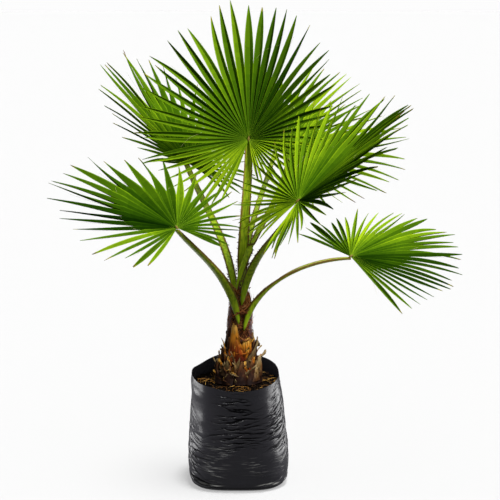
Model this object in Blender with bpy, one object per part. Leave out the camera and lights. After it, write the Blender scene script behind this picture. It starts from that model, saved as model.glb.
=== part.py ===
"""Young washingtonia palm in a black grow bag, in metres, +Z up.

The origin is the middle of the bag's flat underside. Seven fan leaves stand on a short stem clad in
old leaf boots. Each leaf is a petiole and a pleated blade, and every blade, petiole, boot and the stem
is a closed solid of its own.
"""

import math
from dataclasses import dataclass

import bmesh
import bpy
import numpy as np

# Clearance between pieces that touch
GAP = 0.0003

# Grow bag: half widths of the outer wall by share of its height, from the underside to the mouth
BAG_PROFILE = (
    (0.0, 0.1090),
    (0.024, 0.1175),
    (0.08, 0.1220),
    (0.20, 0.1240),
    (0.34, 0.1235),
    (0.50, 0.1210),
    (0.64, 0.1175),
    (0.82, 0.1125),
    (1.0, 0.1085),
)
BAG_HEIGHT = 0.2705
BAG_MOUTH_TILT = 0.020
BAG_MOUTH_SKEW = -0.004
BAG_MOUTH_SHIFT = -0.006
BAG_MOUTH_DIP = 0.0145
BAG_MOUTH_DIP_AT = 146
BAG_MOUTH_DIP_SPREAD = 30
BAG_SQUARENESS = 2.2
BAG_FOOT_SQUARENESS = 3.3
BAG_WALL = 0.0020
BAG_FLOOR = 0.0030
BAG_SIDES = 36

# Soil inside the bag
SOIL_TOP = 0.246
SOIL_CLEARANCE = 0.0005

# Stem: radius by height, from the cut at soil level to its tip
STEM_PROFILE = (
    (0.0, 0.0520),
    (0.014, 0.0470),
    (0.034, 0.0420),
    (0.062, 0.0370),
    (0.092, 0.0325),
    (0.124, 0.0285),
    (0.156, 0.0262),
    (0.190, 0.0240),
    (0.214, 0.0200),
    (0.230, 0.0150),
    (0.238, 0.0100),
)
STEM_LEAN = 0.033
STEM_SIDES = 14

# Blade: leaflets are joined to their neighbours out to a share of their length
JOINED_AT_MIDRIB = 0.50
JOINED_AT_EDGE = 0.20
INNER_RING = 0.36
PLEAT_SLOPE = 0.55
LEAFLET_WAIST_AT = 0.48
LEAFLET_WAIST = 0.60
BLADE_THICKNESS_SHARE = 0.0105
LENGTH_RIPPLE = 0.035

# Petiole: channelled above, rounded below, as shares of its half width and half thickness
PETIOLE_SECTION = ((-1.0, 0.50), (0.0, 0.05), (1.0, 0.50), (0.78, -0.45), (0.0, -1.0), (-0.78, -0.45))
PETIOLE_FOOT_HALF = (0.0100, 0.0058)
PETIOLE_TIP_HALF = (0.0062, 0.0040)
PETIOLE_FOOT_PINCH = 0.5
PETIOLE_STEPS = 10
PETIOLE_TURN_RATE = 1.6
FOOT_CLEARANCE = 0.0012

UPRIGHT = np.array([0.0, 0.0, 1.0])

# Leaf boots: whorls of dry leaf bases up the stem
BOOT_ROWS = 5
BOOT_COLUMNS = 5


@dataclass
class Leaf:
    """One fan leaf. Angles in degrees, lengths in metres."""

    name: str
    foot_turn: float  # side of the stem its petiole leaves from, round from +X
    foot_height: float  # height of the petiole's foot
    lean: float  # tilt of the petiole from upright at its foot
    arrive: float  # rise of the petiole above level at the blade
    girth: float  # width of the petiole, as a share of the usual
    hub: tuple  # where petiole and blade meet
    heading: float  # side the midrib points to, round from +X
    rise: float  # rise of the midrib above level
    roll: float  # turn of the blade about its midrib
    reach: float  # length of the middle leaflets
    shorten: float  # share of that length lost at the outermost leaflets
    fade: float  # power by which that loss sets in from the midrib outwards
    fold: float  # lift of each half, as a shallow V
    cup: float  # lift of all leaflets, as a shallow cone
    droop: float  # fall of a leaflet tip, as a share of the reach
    spread: float  # angle from the midrib to the outermost leaflet
    skew: float  # share by which one edge's leaflets are longer than the middle
    leaflets: int
    split_at: float = 0.0  # share along the petiole where a strongly bent one is made as two limbs


LEAVES = (
    Leaf(
        "top", 84, 0.464, 2, 86, 1.55, (0.027, 0.080, 0.839),
        77, 73, -3, 0.368, 0.61, 1.12, 16, 0, 0.015, 165, -0.23, 34,
    ),
    Leaf(
        "back_left", 113, 0.440, 10, 42, 1.2, (-0.134, 0.300, 0.752),
        110, 37, 28, 0.398, 0.62, 1.5, 4, 2, 0.0, 122, -0.06, 26,
    ),
    Leaf(
        "left", 266, 0.400, 10, 42, 1.15, (-0.137, -0.205, 0.6684),
        126, 34, -4, 0.385, 0.65, 1.19, 13, -15, 0.0, 131, -0.15, 28,
    ),
    Leaf(
        "front_right", 276, 0.446, 14, 46, 1.2, (0.137, -0.262, 0.7392),
        13, 46, 6, 0.330, 0.62, 1.9, 14, -4, 0.0, 165, 0.03, 32,
    ),
    Leaf(
        "right", 288, 0.384, 8, 1, 1.0, (0.272, -0.050, 0.571),
        27, 21, 18, 0.295, 0.22, 1.15, 1, -10, 0.05, 95, -0.03, 24, 0.4,
    ),
    Leaf(
        "back_top", 86, 0.424, 1, 34, 0.9, (0.097, 0.400, 0.773),
        42, 38, 12, 0.320, 0.48, 1.4, 6, 3, 0.02, 104, 0.0, 22,
    ),
    Leaf(
        "back_right", 240, 0.480, 18, 68, 1.0, (0.126, 0.165, 0.7767),
        4, 11, 32, 0.315, 0.52, 1.4, 2, 0, 0.03, 104, 0.0, 24,
    ),
)


def bearing(turn, rise=0.0):
    """Unit vector at turn degrees round from +X and rise degrees above level."""
    turn, rise = math.radians(turn), math.radians(rise)
    return np.array([math.cos(turn) * math.cos(rise), math.sin(turn) * math.cos(rise), math.sin(rise)])


def unit(vector):
    return vector / np.linalg.norm(vector)


def add_object(name, points, faces, colour, roughness, smooth=False):
    """One closed solid with its own material."""
    mesh = bpy.data.meshes.new(name)
    mesh.from_pydata([tuple(p) for p in points], [], faces)
    work = bmesh.new()
    work.from_mesh(mesh)
    bmesh.ops.triangulate(work, faces=work.faces)
    bmesh.ops.recalc_face_normals(work, faces=work.faces)
    work.to_mesh(mesh)
    work.free()
    if smooth:
        mesh.shade_smooth()
        mesh.set_sharp_from_angle(angle=math.radians(40))
    material = bpy.data.materials.new(name)
    material.use_nodes = True
    shader = material.node_tree.nodes["Principled BSDF"]
    shader.inputs["Base Color"].default_value = (*colour, 1.0)
    shader.inputs["Roughness"].default_value = roughness
    mesh.materials.append(material)
    piece = bpy.data.objects.new(name, mesh)
    bpy.context.collection.objects.link(piece)
    return piece


def loft(rings):
    """Points and faces of a closed solid skinned over rings of equal length, capped at both ends."""
    count = len(rings[0])
    points = np.concatenate(rings)
    faces = []
    for step in range(len(rings) - 1):
        low, high = step * count, (step + 1) * count
        for i in range(count):
            j = (i + 1) % count
            faces.append((low + i, low + j, high + j, high + i))
    faces.append(tuple(reversed(range(count))))
    last = (len(rings) - 1) * count
    faces.append(tuple(range(last, last + count)))
    return points, faces


def bag_turns():
    return np.arange(BAG_SIDES) * 2 * math.pi / BAG_SIDES


def mouth_height(turns):
    """Height of the bag's mouth: low in front, high behind, a little higher on the left, with one dip behind."""
    away = (np.degrees(turns) - BAG_MOUTH_DIP_AT) / BAG_MOUTH_DIP_SPREAD
    dip = BAG_MOUTH_DIP * np.exp(-(away**2))
    return BAG_HEIGHT + BAG_MOUTH_TILT * np.sin(turns) + BAG_MOUTH_SKEW * np.cos(turns) - dip


def bag_ring(share, inset, height=None):
    """Ring of the bag's wall at a share of its height, inset from the outside."""
    turns = bag_turns()
    shares, radii = zip(*BAG_PROFILE)
    share = np.broadcast_to(share, turns.shape)
    power = np.interp(share, (0.0, 0.5), (BAG_FOOT_SQUARENESS, BAG_SQUARENESS))
    squared = np.abs(np.cos(turns)) ** power + np.abs(np.sin(turns)) ** power
    radius = (np.interp(share, shares, radii) - inset) * squared ** (-1 / power)
    shift = BAG_MOUTH_SHIFT * np.clip(share - 0.5, 0, 1) * 2
    z = share * mouth_height(turns) if height is None else np.full(turns.shape, height)
    return np.stack([radius * np.cos(turns) + shift, radius * np.sin(turns), z], axis=1)


def build_bag():
    """Thin-walled bag, open above, standing on its flat underside."""
    shares = [share for share, _ in BAG_PROFILE]
    outer = [bag_ring(share, 0.0) for share in shares]
    inner = [bag_ring(share, BAG_WALL) for share in reversed(shares[1:])]
    floor = bag_ring(BAG_FLOOR / BAG_HEIGHT, BAG_WALL, BAG_FLOOR)
    points, faces = loft(outer + inner + [floor])
    add_object("grow_bag", points, faces, (0.030, 0.030, 0.034), 0.35, smooth=True)


def build_soil():
    """Soil filling the bag to a flat top below the mouth."""
    inset = BAG_WALL + SOIL_CLEARANCE
    bottom = BAG_FLOOR + SOIL_CLEARANCE
    rings = [bag_ring(bottom / mouth_height(bag_turns()), inset, bottom)]
    for share, _ in BAG_PROFILE[1:]:
        ring = bag_ring(share, inset)
        if ring[:, 2].max() < SOIL_TOP:
            rings.append(ring)
    rings.append(bag_ring(SOIL_TOP / mouth_height(bag_turns()), inset, SOIL_TOP))
    points, faces = loft(rings)
    add_object("soil", points, faces, (0.040, 0.022, 0.012), 0.95)


def stem_radius(height):
    rises, radii = zip(*STEM_PROFILE)
    return np.interp(height - SOIL_TOP, rises, radii)


def stem_middle(height):
    return np.array([STEM_LEAN * (height - SOIL_TOP), 0.0, height])


def build_stem():
    """Short tapering stem with a flared foot, cut flat at soil level."""
    turns = np.arange(STEM_SIDES) * 2 * math.pi / STEM_SIDES
    rings = []
    for rise, radius in STEM_PROFILE:
        height = SOIL_TOP + GAP + rise
        ring = np.stack([radius * np.cos(turns), radius * np.sin(turns), np.zeros(STEM_SIDES)], axis=1)
        rings.append(ring + stem_middle(height))
    points, faces = loft(rings)
    add_object("stem", points, faces, (0.090, 0.035, 0.015), 0.8, smooth=True)


@dataclass
class Whorl:
    """A ring of dry leaf bases. Lengths in metres, angle in degrees."""

    name: str
    count: int
    first_turn: float
    foot: float  # height of their feet above the soil
    length: float
    half_width: float
    thickness: float
    splay: float  # how far their tips stand off the stem


WHORLS = (
    Whorl("boot_low", 6, 20, 0.0, 0.052, 0.024, 0.0075, 0.009),
    Whorl("boot_middle", 5, 52, 0.056, 0.052, 0.017, 0.0060, 0.003),
    Whorl("boot_high", 3, -6, 0.110, 0.042, 0.013, 0.0045, 0.002),
)


def build_boots():
    """Pointed scales that hug the stem, their tips standing off it a little."""
    for whorl in WHORLS:
        for index in range(whorl.count):
            turn = math.radians(whorl.first_turn + index * 360 / whorl.count)
            rings = []
            for along in np.linspace(0, 1, BOOT_ROWS):
                height = SOIL_TOP + GAP + whorl.foot + along * whorl.length
                half = whorl.half_width * (1 - 0.78 * along**1.6)
                near = stem_radius(height - GAP) + GAP * 4 + whorl.splay * along**2
                far = near + whorl.thickness * (1 - 0.45 * along)
                across = np.linspace(-1, 1, BOOT_COLUMNS) * half / near
                inside = [(near, a) for a in across]
                outside = [(far - 0.3 * whorl.thickness * (a * near / half) ** 2, a) for a in across[::-1]]
                ring = [(r * math.cos(turn + a), r * math.sin(turn + a), 0.0) for r, a in inside + outside]
                rings.append(np.array(ring) + stem_middle(height))
            points, faces = loft(rings)
            add_object(f"{whorl.name}_{index + 1}", points, faces, (0.42, 0.19, 0.05), 0.6, smooth=True)


def blade_axes(leaf):
    """Directions of a blade: along its midrib, across it, and out of its upper face."""
    midrib = bearing(leaf.heading, leaf.rise)
    upright = unit(UPRIGHT - midrib[2] * midrib)
    across = np.cross(midrib, upright)
    roll = math.radians(leaf.roll)
    face = upright * math.cos(roll) + across * math.sin(roll)
    return midrib, np.cross(midrib, face), face


def blade_points(leaf, turns, distances, lifts):
    """Points of a blade at angles from its midrib and distances from its hub, raised off its face.

    A leaflet runs straight out in a plane that is folded along the midrib and cupped, and falls by
    the square of the distance.
    """
    midrib, across, face = blade_axes(leaf)
    fold, cup = math.radians(leaf.fold), math.radians(leaf.cup)
    ways = np.cos(turns)[:, None] * midrib + np.sin(turns)[:, None] * across * math.cos(fold)
    ways = ways + np.abs(np.sin(turns))[:, None] * face * math.sin(fold)
    ways = ways * math.cos(cup) + face * math.sin(cup)
    points = np.array(leaf.hub) + ways * distances[:, None] + face * lifts[:, None]
    points[:, 2] -= leaf.droop * distances**2 / leaf.reach
    return points


def blade_outline(leaf, turns):
    """Distance from the hub to the blade's edge: longest at the midrib, less at the sides, a little lopsided."""
    share = turns / math.radians(leaf.spread)
    return leaf.reach * (1 - leaf.shorten * np.abs(share) ** leaf.fade) * (1 + leaf.skew * share)


def leaflet_lengths(leaf, turns):
    """Leaflets reach the outline, less a slight ripple."""
    ripple = 1 - LENGTH_RIPPLE * (0.5 + 0.5 * np.sin(turns * leaf.leaflets * 0.73))
    return blade_outline(leaf, turns) * ripple


def joined_distance(leaf, turns):
    """Distance from the hub at which neighbouring leaflets part."""
    share = np.abs(turns) / math.radians(leaf.spread)
    return blade_outline(leaf, turns) * (JOINED_AT_MIDRIB + (JOINED_AT_EDGE - JOINED_AT_MIDRIB) * share)


def build_blade(leaf):
    """Pleated fan, one sheet of even thickness, its outline cut down between the leaflets."""
    count = leaf.leaflets
    half = math.radians(leaf.spread) / count
    ribs = (np.arange(count) * 2 + 1 - count) * half
    creases = (np.arange(2 * count + 1) - count) * half
    rise = np.where(np.arange(2 * count + 1) % 2 == 0, 1.0, -1.0) * PLEAT_SLOPE * half * 0.5
    parting = joined_distance(leaf, creases)
    centre = blade_points(leaf, np.zeros(1), np.zeros(1), np.zeros(1))
    ring = blade_points(leaf, creases, parting * INNER_RING, rise * parting * INNER_RING)
    edge = blade_points(leaf, creases, parting, rise * parting)
    lengths = leaflet_lengths(leaf, ribs)
    starts = joined_distance(leaf, ribs)
    waist = starts + (lengths - starts) * LEAFLET_WAIST_AT
    narrow = half * starts * LEAFLET_WAIST
    lift = PLEAT_SLOPE * 0.5 * narrow
    left = blade_points(leaf, ribs - narrow / waist, waist, lift)
    middle = blade_points(leaf, ribs, waist, -lift)
    right = blade_points(leaf, ribs + narrow / waist, waist, lift)
    tips = blade_points(leaf, ribs, lengths, np.zeros(count))
    top = np.concatenate([centre, ring, edge, left, middle, right, tips])
    first_ring, first_edge = 1, 2 + 2 * count
    first_left = first_edge + 2 * count + 1
    first_middle, first_right, first_tip = (first_left + count * k for k in (1, 2, 3))
    sheet = []
    for i in range(2 * count):
        sheet.append((0, first_ring + i, first_ring + i + 1))
        sheet.append((first_ring + i, first_edge + i, first_edge + i + 1))
        sheet.append((first_ring + i, first_edge + i + 1, first_ring + i + 1))
    rim = [0, first_ring, first_edge]
    for i in range(count):
        a, b, c = (first_edge + 2 * i + k for k in range(3))
        d, e, f, tip = first_left + i, first_middle + i, first_right + i, first_tip + i
        sheet += [(a, d, e), (a, e, b), (b, e, f), (b, f, c), (d, tip, e), (e, tip, f)]
        rim += [d, tip, f, c]
    rim.append(first_ring + 2 * count)
    _, _, face = blade_axes(leaf)
    total = len(top)
    points = np.concatenate([top, top - face * leaf.reach * BLADE_THICKNESS_SHARE])
    faces = list(sheet)
    faces += [tuple(total + i for i in reversed(triangle)) for triangle in sheet]
    for here, there in zip(rim, rim[1:] + rim[:1]):
        faces.append((there, here, total + here, total + there))
    add_object(f"frond_{leaf.name}", points, faces, (0.09, 0.24, 0.02), 0.45)


def petiole_line(leaf, end):
    """Smooth curve in one upright plane from the stem to the blade, leaving steeply and arching over."""
    foot = stem_middle(leaf.foot_height)
    clear = PETIOLE_FOOT_HALF[1] + FOOT_CLEARANCE
    if leaf.foot_height < SOIL_TOP + STEM_PROFILE[-1][0]:
        foot = foot + bearing(leaf.foot_turn) * (stem_radius(leaf.foot_height) + clear)
    plan = end - foot
    turn = math.degrees(math.atan2(plan[1], plan[0]))
    stretch = np.linalg.norm(plan) * 0.36
    first = foot + bearing(turn, 90 - leaf.lean) * stretch
    last = end - bearing(turn, leaf.arrive) * stretch
    t = np.linspace(0, 1, PETIOLE_STEPS)[:, None]
    line = foot * (1 - t) ** 3 + 3 * first * t * (1 - t) ** 2 + 3 * last * t**2 * (1 - t) + end * t**3
    return line, np.cross(bearing(leaf.foot_turn), UPRIGHT), np.cross(bearing(turn), UPRIGHT)


def petiole_rings(leaf, end):
    """Sections along a petiole, square to it, tapering and turning from its foot on the stem to its tip."""
    line, foot_side, tip_side = petiole_line(leaf, end)
    ways = np.gradient(line, axis=0)
    ways /= np.linalg.norm(ways, axis=1)[:, None]
    rings = []
    for step, (place, way) in enumerate(zip(line, ways)):
        share = step / (len(line) - 1)
        half_wide = (PETIOLE_FOOT_HALF[0] + (PETIOLE_TIP_HALF[0] - PETIOLE_FOOT_HALF[0]) * share) * leaf.girth
        half_wide *= PETIOLE_FOOT_PINCH if step == 0 else 1.0
        half_thick = PETIOLE_FOOT_HALF[1] + (PETIOLE_TIP_HALF[1] - PETIOLE_FOOT_HALF[1]) * share
        side = foot_side + (tip_side - foot_side) * min(1.0, share * PETIOLE_TURN_RATE)
        side = unit(side - way * (side @ way))
        upper = np.cross(side, way)
        rings.append(np.array([place + side * a * half_wide + upper * b * half_thick for a, b in PETIOLE_SECTION]))
    return rings


def build_petiole(leaf):
    """Leaf stalk that ends just under its blade. A strongly bent one is two limbs that meet at the bend."""
    _, _, face = blade_axes(leaf)
    seat = np.array(leaf.hub) - face * (leaf.reach * BLADE_THICKNESS_SHARE + GAP * 3)
    end = seat
    for _ in range(3):
        tip = petiole_rings(leaf, end)[-1]
        end = end - face * ((tip - seat) @ face).max()
    rings = petiole_rings(leaf, end)
    if leaf.split_at:
        cut = round(leaf.split_at * (len(rings) - 1))
        way = unit(rings[cut + 1].mean(axis=0) - rings[cut].mean(axis=0))
        parts = (("lower", rings[: cut + 1]), ("upper", [rings[cut] + way * GAP] + rings[cut + 1 :]))
    else:
        parts = (("", rings),)
    for label, part in parts:
        points, faces = loft(part)
        name = f"petiole_{leaf.name}" + (f"_{label}" if label else "")
        add_object(name, points, faces, (0.18, 0.28, 0.03), 0.4, smooth=True)


def main():
    for old in list(bpy.data.objects):
        bpy.data.objects.remove(old)
    build_bag()
    build_soil()
    build_stem()
    build_boots()
    for leaf in LEAVES:
        build_petiole(leaf)
        build_blade(leaf)


main()
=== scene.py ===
"""Looks of a young washingtonia palm in a black grow bag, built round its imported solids.

Metres, +Z up, the origin in the middle of the bag's underside. Every shape is a surface worked out on a
grid or along a line, and each leaf follows the same rule as its solid, carried to more and finer leaflets.
"""

import math
from dataclasses import dataclass

import bpy
import numpy as np
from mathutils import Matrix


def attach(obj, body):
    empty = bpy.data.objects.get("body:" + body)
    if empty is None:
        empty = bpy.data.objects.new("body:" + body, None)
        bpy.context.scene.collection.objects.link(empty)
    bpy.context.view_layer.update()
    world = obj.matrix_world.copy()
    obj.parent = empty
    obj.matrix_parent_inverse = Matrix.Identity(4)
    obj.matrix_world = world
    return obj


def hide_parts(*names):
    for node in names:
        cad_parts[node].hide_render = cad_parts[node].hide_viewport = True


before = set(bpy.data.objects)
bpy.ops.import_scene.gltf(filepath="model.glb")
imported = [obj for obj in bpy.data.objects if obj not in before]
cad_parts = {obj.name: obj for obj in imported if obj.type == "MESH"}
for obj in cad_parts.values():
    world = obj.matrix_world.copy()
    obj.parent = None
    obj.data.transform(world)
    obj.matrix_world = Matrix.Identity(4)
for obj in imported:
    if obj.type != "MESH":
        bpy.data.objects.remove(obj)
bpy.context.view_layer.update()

bl_info = {
    "name": "Potted Washingtonia Palm",
    "version": (1, 0, 0),
    "blender": (4, 5, 0),
    "location": "3D View > Sidebar > Palm",
    "description": "Builds a young fan palm in a grow bag round its packed solids",
    "category": "Add Mesh",
}

BODY = "root"
UPRIGHT = np.array([0.0, 0.0, 1.0])

# Grow bag: half widths of the outer wall by share of its height, from the underside to the mouth
BAG_PROFILE = (
    (0.0, 0.1090),
    (0.024, 0.1175),
    (0.08, 0.1220),
    (0.20, 0.1240),
    (0.34, 0.1235),
    (0.50, 0.1210),
    (0.64, 0.1175),
    (0.82, 0.1125),
    (1.0, 0.1085),
)
BAG_HEIGHT = 0.2705
BAG_MOUTH_TILT = 0.020
BAG_MOUTH_SKEW = -0.004
BAG_MOUTH_SHIFT = -0.006
BAG_MOUTH_DIP = 0.0145
BAG_MOUTH_DIP_AT = 146
BAG_MOUTH_DIP_SPREAD = 30
BAG_SQUARENESS = 2.2
BAG_FOOT_SQUARENESS = 3.3
SOIL_TOP = 0.246

# Stem: radius by height, from the cut at soil level to its tip
STEM_PROFILE = (
    (0.0, 0.0520),
    (0.014, 0.0470),
    (0.034, 0.0420),
    (0.062, 0.0370),
    (0.092, 0.0325),
    (0.124, 0.0285),
    (0.156, 0.0262),
    (0.190, 0.0240),
    (0.214, 0.0200),
    (0.230, 0.0150),
    (0.238, 0.0100),
)
STEM_LEAN = 0.033

# Leaf rule: leaflets are joined to their neighbours out to a share of their length
JOINED_AT_MIDRIB = 0.50
JOINED_AT_EDGE = 0.20
BLADE_THICKNESS_SHARE = 0.0105

# Petiole: half width and half thickness at its foot and its tip
PETIOLE_FOOT_HALF = (0.0100, 0.0058)
PETIOLE_TIP_HALF = (0.0062, 0.0040)
PETIOLE_FOOT_PINCH = 0.5
PETIOLE_PINCHED = 0.11
PETIOLE_TURN_RATE = 1.6
PETIOLE_SEAT = 0.0009
FOOT_CLEARANCE = 0.0012


@dataclass
class Leaf:
    """One fan leaf. Angles in degrees, lengths in metres."""

    name: str
    foot_turn: float  # side of the stem its petiole leaves from, round from +X
    foot_height: float  # height of the petiole's foot
    lean: float  # tilt of the petiole from upright at its foot
    arrive: float  # rise of the petiole above level at the blade
    girth: float  # width of the petiole, as a share of the usual
    hub: tuple  # where petiole and blade meet
    heading: float  # side the midrib points to, round from +X
    rise: float  # rise of the midrib above level
    roll: float  # turn of the blade about its midrib
    reach: float  # length of the middle leaflets
    shorten: float  # share of that length lost at the outermost leaflets
    fade: float  # power by which that loss sets in from the midrib outwards
    fold: float  # lift of each half, as a shallow V
    cup: float  # lift of all leaflets, as a shallow cone
    droop: float  # fall of a leaflet tip, as a share of the reach
    spread: float  # angle from the midrib to the outermost leaflet
    skew: float  # share by which one edge's leaflets are longer than the middle
    leaflets: int  # count of fine leaflets
    # The tones are partly the leaf's own green and partly painted light and shade: darker where part of a fan lies in
    # shade, brighter where it is lit
    tones_and_shading: tuple  # shades of green from one edge to the other, 0 deep to 1 bright
    swell: float  # how much its leaflets widen past their partings, as a share
    plump: float  # how much stouter its petiole looks halfway than its solid, as a share
    nodes: tuple  # petiole solids that this leaf's petiole stands for


LEAVES = (
    Leaf(
        "top", 84, 0.464, 2, 86, 1.55, (0.027, 0.080, 0.839),
        77, 73, -3, 0.368, 0.61, 1.12, 16, 0, 0.015, 165, -0.23,
        50, (0.8, 0.68, 0.44, 0.44, 0.34, 0.2, 0.46, 0.7, 0.82), 0.45, 1.0,
        ("petiole_top",),
    ),
    Leaf(
        "back_left", 113, 0.440, 10, 42, 1.2, (-0.134, 0.300, 0.752),
        110, 37, 28, 0.398, 0.62, 1.5, 4, 2, 0.0, 122, -0.06,
        32, (0.38, 0.4, 0.48, 0.52, 0.5, 0.46, 0.42, 0.4, 0.4), -0.4, 1.0,
        ("petiole_back_left",),
    ),
    Leaf(
        "left", 266, 0.400, 10, 42, 1.15, (-0.137, -0.205, 0.6684),
        126, 34, -4, 0.385, 0.65, 1.19, 13, -15, 0.0, 131, -0.15,
        31, (0.72, 0.68, -0.26, 0.34, 0.44, 0.62, 0.54, 0.34, 0.34), -0.3, 1.25,
        ("petiole_left",),
    ),
    Leaf(
        "front_right", 276, 0.446, 14, 46, 1.2, (0.137, -0.262, 0.7392),
        13, 46, 6, 0.330, 0.62, 1.9, 14, -4, 0.0, 165, 0.03,
        54, (0.9, 0.76, 0.62, 0.52, 0.42, 0.36, 0.22, 0.68, 0.92), 0.05, 1.0,
        ("petiole_front_right",),
    ),
    Leaf(
        "right", 288, 0.384, 8, 1, 1.0, (0.272, -0.050, 0.571),
        27, 21, 18, 0.295, 0.22, 1.15, 1, -10, 0.05, 95, -0.03,
        33, (0.42, 0.46, 0.76, 0.66, 0.44, 0.24, 0.12, 0.14, 0.52), 0.6, 1.2,
        ("petiole_right_lower", "petiole_right_upper"),
    ),
    Leaf(
        "back_top", 86, 0.424, 1, 34, 0.9, (0.097, 0.400, 0.773),
        42, 38, 12, 0.320, 0.48, 1.4, 6, 3, 0.02, 104, 0.0,
        30, (0.62, 0.62, 0.62, 0.62, 0.62, 0.62, 0.62, 0.62, 0.62), -0.1, 1.0,
        ("petiole_back_top",),
    ),
    Leaf(
        "back_right", 240, 0.480, 18, 68, 1.0, (0.126, 0.165, 0.7767),
        4, 11, 32, 0.315, 0.52, 1.4, 2, 0, 0.03, 104, 0.0,
        30, (0.6, 0.6, 0.6, 0.6, 0.6, 0.6, 0.6, 0.6, 0.6), -0.1, 1.0,
        ("petiole_back_right",),
    ),
)


class BagSettings(bpy.types.PropertyGroup):
    """Sizes and colour of the grow bag."""

    film: bpy.props.FloatProperty(
        name="Film", description="Thickness of the film at the mouth", default=0.0011, min=0.0005, unit="LENGTH"
    )
    crease_depth: bpy.props.FloatProperty(
        name="Crease depth", description="Height of the deepest crease", default=0.0030, min=0.0, unit="LENGTH"
    )
    creases: bpy.props.IntProperty(name="Creases", description="How many folds cross the wall", default=60)
    wrinkles: bpy.props.IntProperty(name="Wrinkles", description="How many short wrinkles are dealt out", default=900)
    wrinkle_depth: bpy.props.FloatProperty(
        name="Wrinkle depth", description="Depth of the deepest wrinkle", default=0.0026, unit="LENGTH"
    )
    colour: bpy.props.FloatVectorProperty(
        name="Colour", description="Colour of the film", subtype="COLOR", size=3, default=(0.036, 0.035, 0.042)
    )
    gloss: bpy.props.FloatProperty(
        name="Roughness", description="Middle roughness of the film", default=0.25, subtype="FACTOR"
    )


class SoilSettings(bpy.types.PropertyGroup):
    """Soil and what lies on it."""

    crumb: bpy.props.FloatProperty(
        name="Crumb height", description="Height of the crumbs on the soil", default=0.0032, unit="LENGTH"
    )
    crumbs: bpy.props.IntProperty(name="Crumbs", description="How many loose crumbs lie on the soil", default=620)
    straws: bpy.props.IntProperty(name="Straws", description="How many straw fibres lie on the soil", default=84)
    colour: bpy.props.FloatVectorProperty(
        name="Colour", description="Colour of the soil", subtype="COLOR", size=3, default=(0.0034, 0.0022, 0.0015)
    )


class StemSettings(bpy.types.PropertyGroup):
    """Fibre and old leaf boots on the stem."""

    fibres: bpy.props.IntProperty(name="Fibres", description="How many fibres wrap the stem", default=760)
    boots: bpy.props.IntProperty(name="Boots", description="How many small dry boots clothe the stem", default=64)
    shreds: bpy.props.IntProperty(name="Shreds", description="How many narrow scraps stand among the boots", default=150)
    colour: bpy.props.FloatVectorProperty(
        name="Colour", description="Colour of the stem under its fibre", subtype="COLOR", size=3, default=(0.075, 0.022, 0.009)
    )


class LeafSettings(bpy.types.PropertyGroup):
    """Petioles, spines and fans."""

    spine: bpy.props.FloatProperty(
        name="Spine", description="Length of the longest spine on a petiole", default=0.0056, unit="LENGTH"
    )
    pleat: bpy.props.FloatProperty(
        name="Pleat", description="Rise of a crease over its rib, as a share of a leaflet's half width", default=1.05
    )
    thickness: bpy.props.FloatProperty(
        name="Blade", description="Thickness of a leaflet", default=0.0006, min=0.0002, unit="LENGTH"
    )
    deep: bpy.props.FloatVectorProperty(
        name="Deep green", description="Darkest leaf colour", subtype="COLOR", size=3, default=(0.012, 0.042, 0.0010)
    )
    bright: bpy.props.FloatVectorProperty(
        name="Bright green", description="Lightest leaf colour", subtype="COLOR", size=3, default=(0.290, 0.430, 0.008)
    )


class StageSettings(bpy.types.PropertyGroup):
    """Camera and light."""

    eye: bpy.props.FloatVectorProperty(
        name="Camera", description="Place of the camera", subtype="TRANSLATION", size=3, default=(0.030, -3.4, 1.24)
    )
    pitch: bpy.props.FloatProperty(
        name="Pitch", description="Tilt of the camera below level", default=math.radians(11.029), subtype="ANGLE"
    )
    lens: bpy.props.FloatProperty(name="Lens", description="Focal length in millimetres", default=102.28)
    sun: bpy.props.FloatProperty(name="Sun", description="Strength of the key light", default=4.4)
    panel: bpy.props.FloatProperty(name="Panels", description="Power of each side light in watts", default=12.0)
    softness: bpy.props.FloatProperty(
        name="Softness", description="Angle that the key light spans", default=math.radians(16), subtype="ANGLE"
    )
    sky: bpy.props.FloatProperty(name="Sky", description="Strength of the white light from above", default=0.80)
    ground: bpy.props.FloatProperty(name="Ground", description="Strength of the dim light all round", default=0.10)
    bounce: bpy.props.FloatProperty(name="Bounce", description="Strength of the light from the floor", default=0.10)


def unit(vectors):
    """Vectors scaled to length 1 along their last axis."""
    return vectors / np.linalg.norm(vectors, axis=-1, keepdims=True)


def bearing(turn, rise=0.0):
    """Unit vector at turn degrees round from +X and rise degrees above level."""
    turn, rise = math.radians(turn), math.radians(rise)
    return np.array([math.cos(turn) * math.cos(rise), math.sin(turn) * math.cos(rise), math.sin(rise)])


def smooth_noise(u, v, draw, cells, around=False):
    """Random values on a lattice of cells by cells, joined by a smooth blend: 3t² - 2t³ of the way between corners."""
    across, up = cells
    lattice = draw.uniform(-1, 1, (across + 1, up + 1))
    if around:
        lattice[-1] = lattice[0]
    x, y = np.clip(u, 0, 1) * across, np.clip(v, 0, 1) * up
    i, j = np.minimum(x.astype(int), across - 1), np.minimum(y.astype(int), up - 1)
    s, t = x - i, y - j
    s, t = s * s * (3 - 2 * s), t * t * (3 - 2 * t)
    low = lattice[i, j] * (1 - s) + lattice[i + 1, j] * s
    high = lattice[i, j + 1] * (1 - s) + lattice[i + 1, j + 1] * s
    return low * (1 - t) + high * t


def grid_faces(numbers, ring=False):
    """Quads between neighbours of a grid of point numbers (rows by columns), its columns closed into a ring if asked."""
    if ring:
        numbers = np.concatenate([numbers, numbers[..., :1]], axis=-1)
    corners = (numbers[..., :-1, :-1], numbers[..., :-1, 1:], numbers[..., 1:, 1:], numbers[..., 1:, :-1])
    return np.stack([c.reshape(-1) for c in corners], axis=1)


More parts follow.
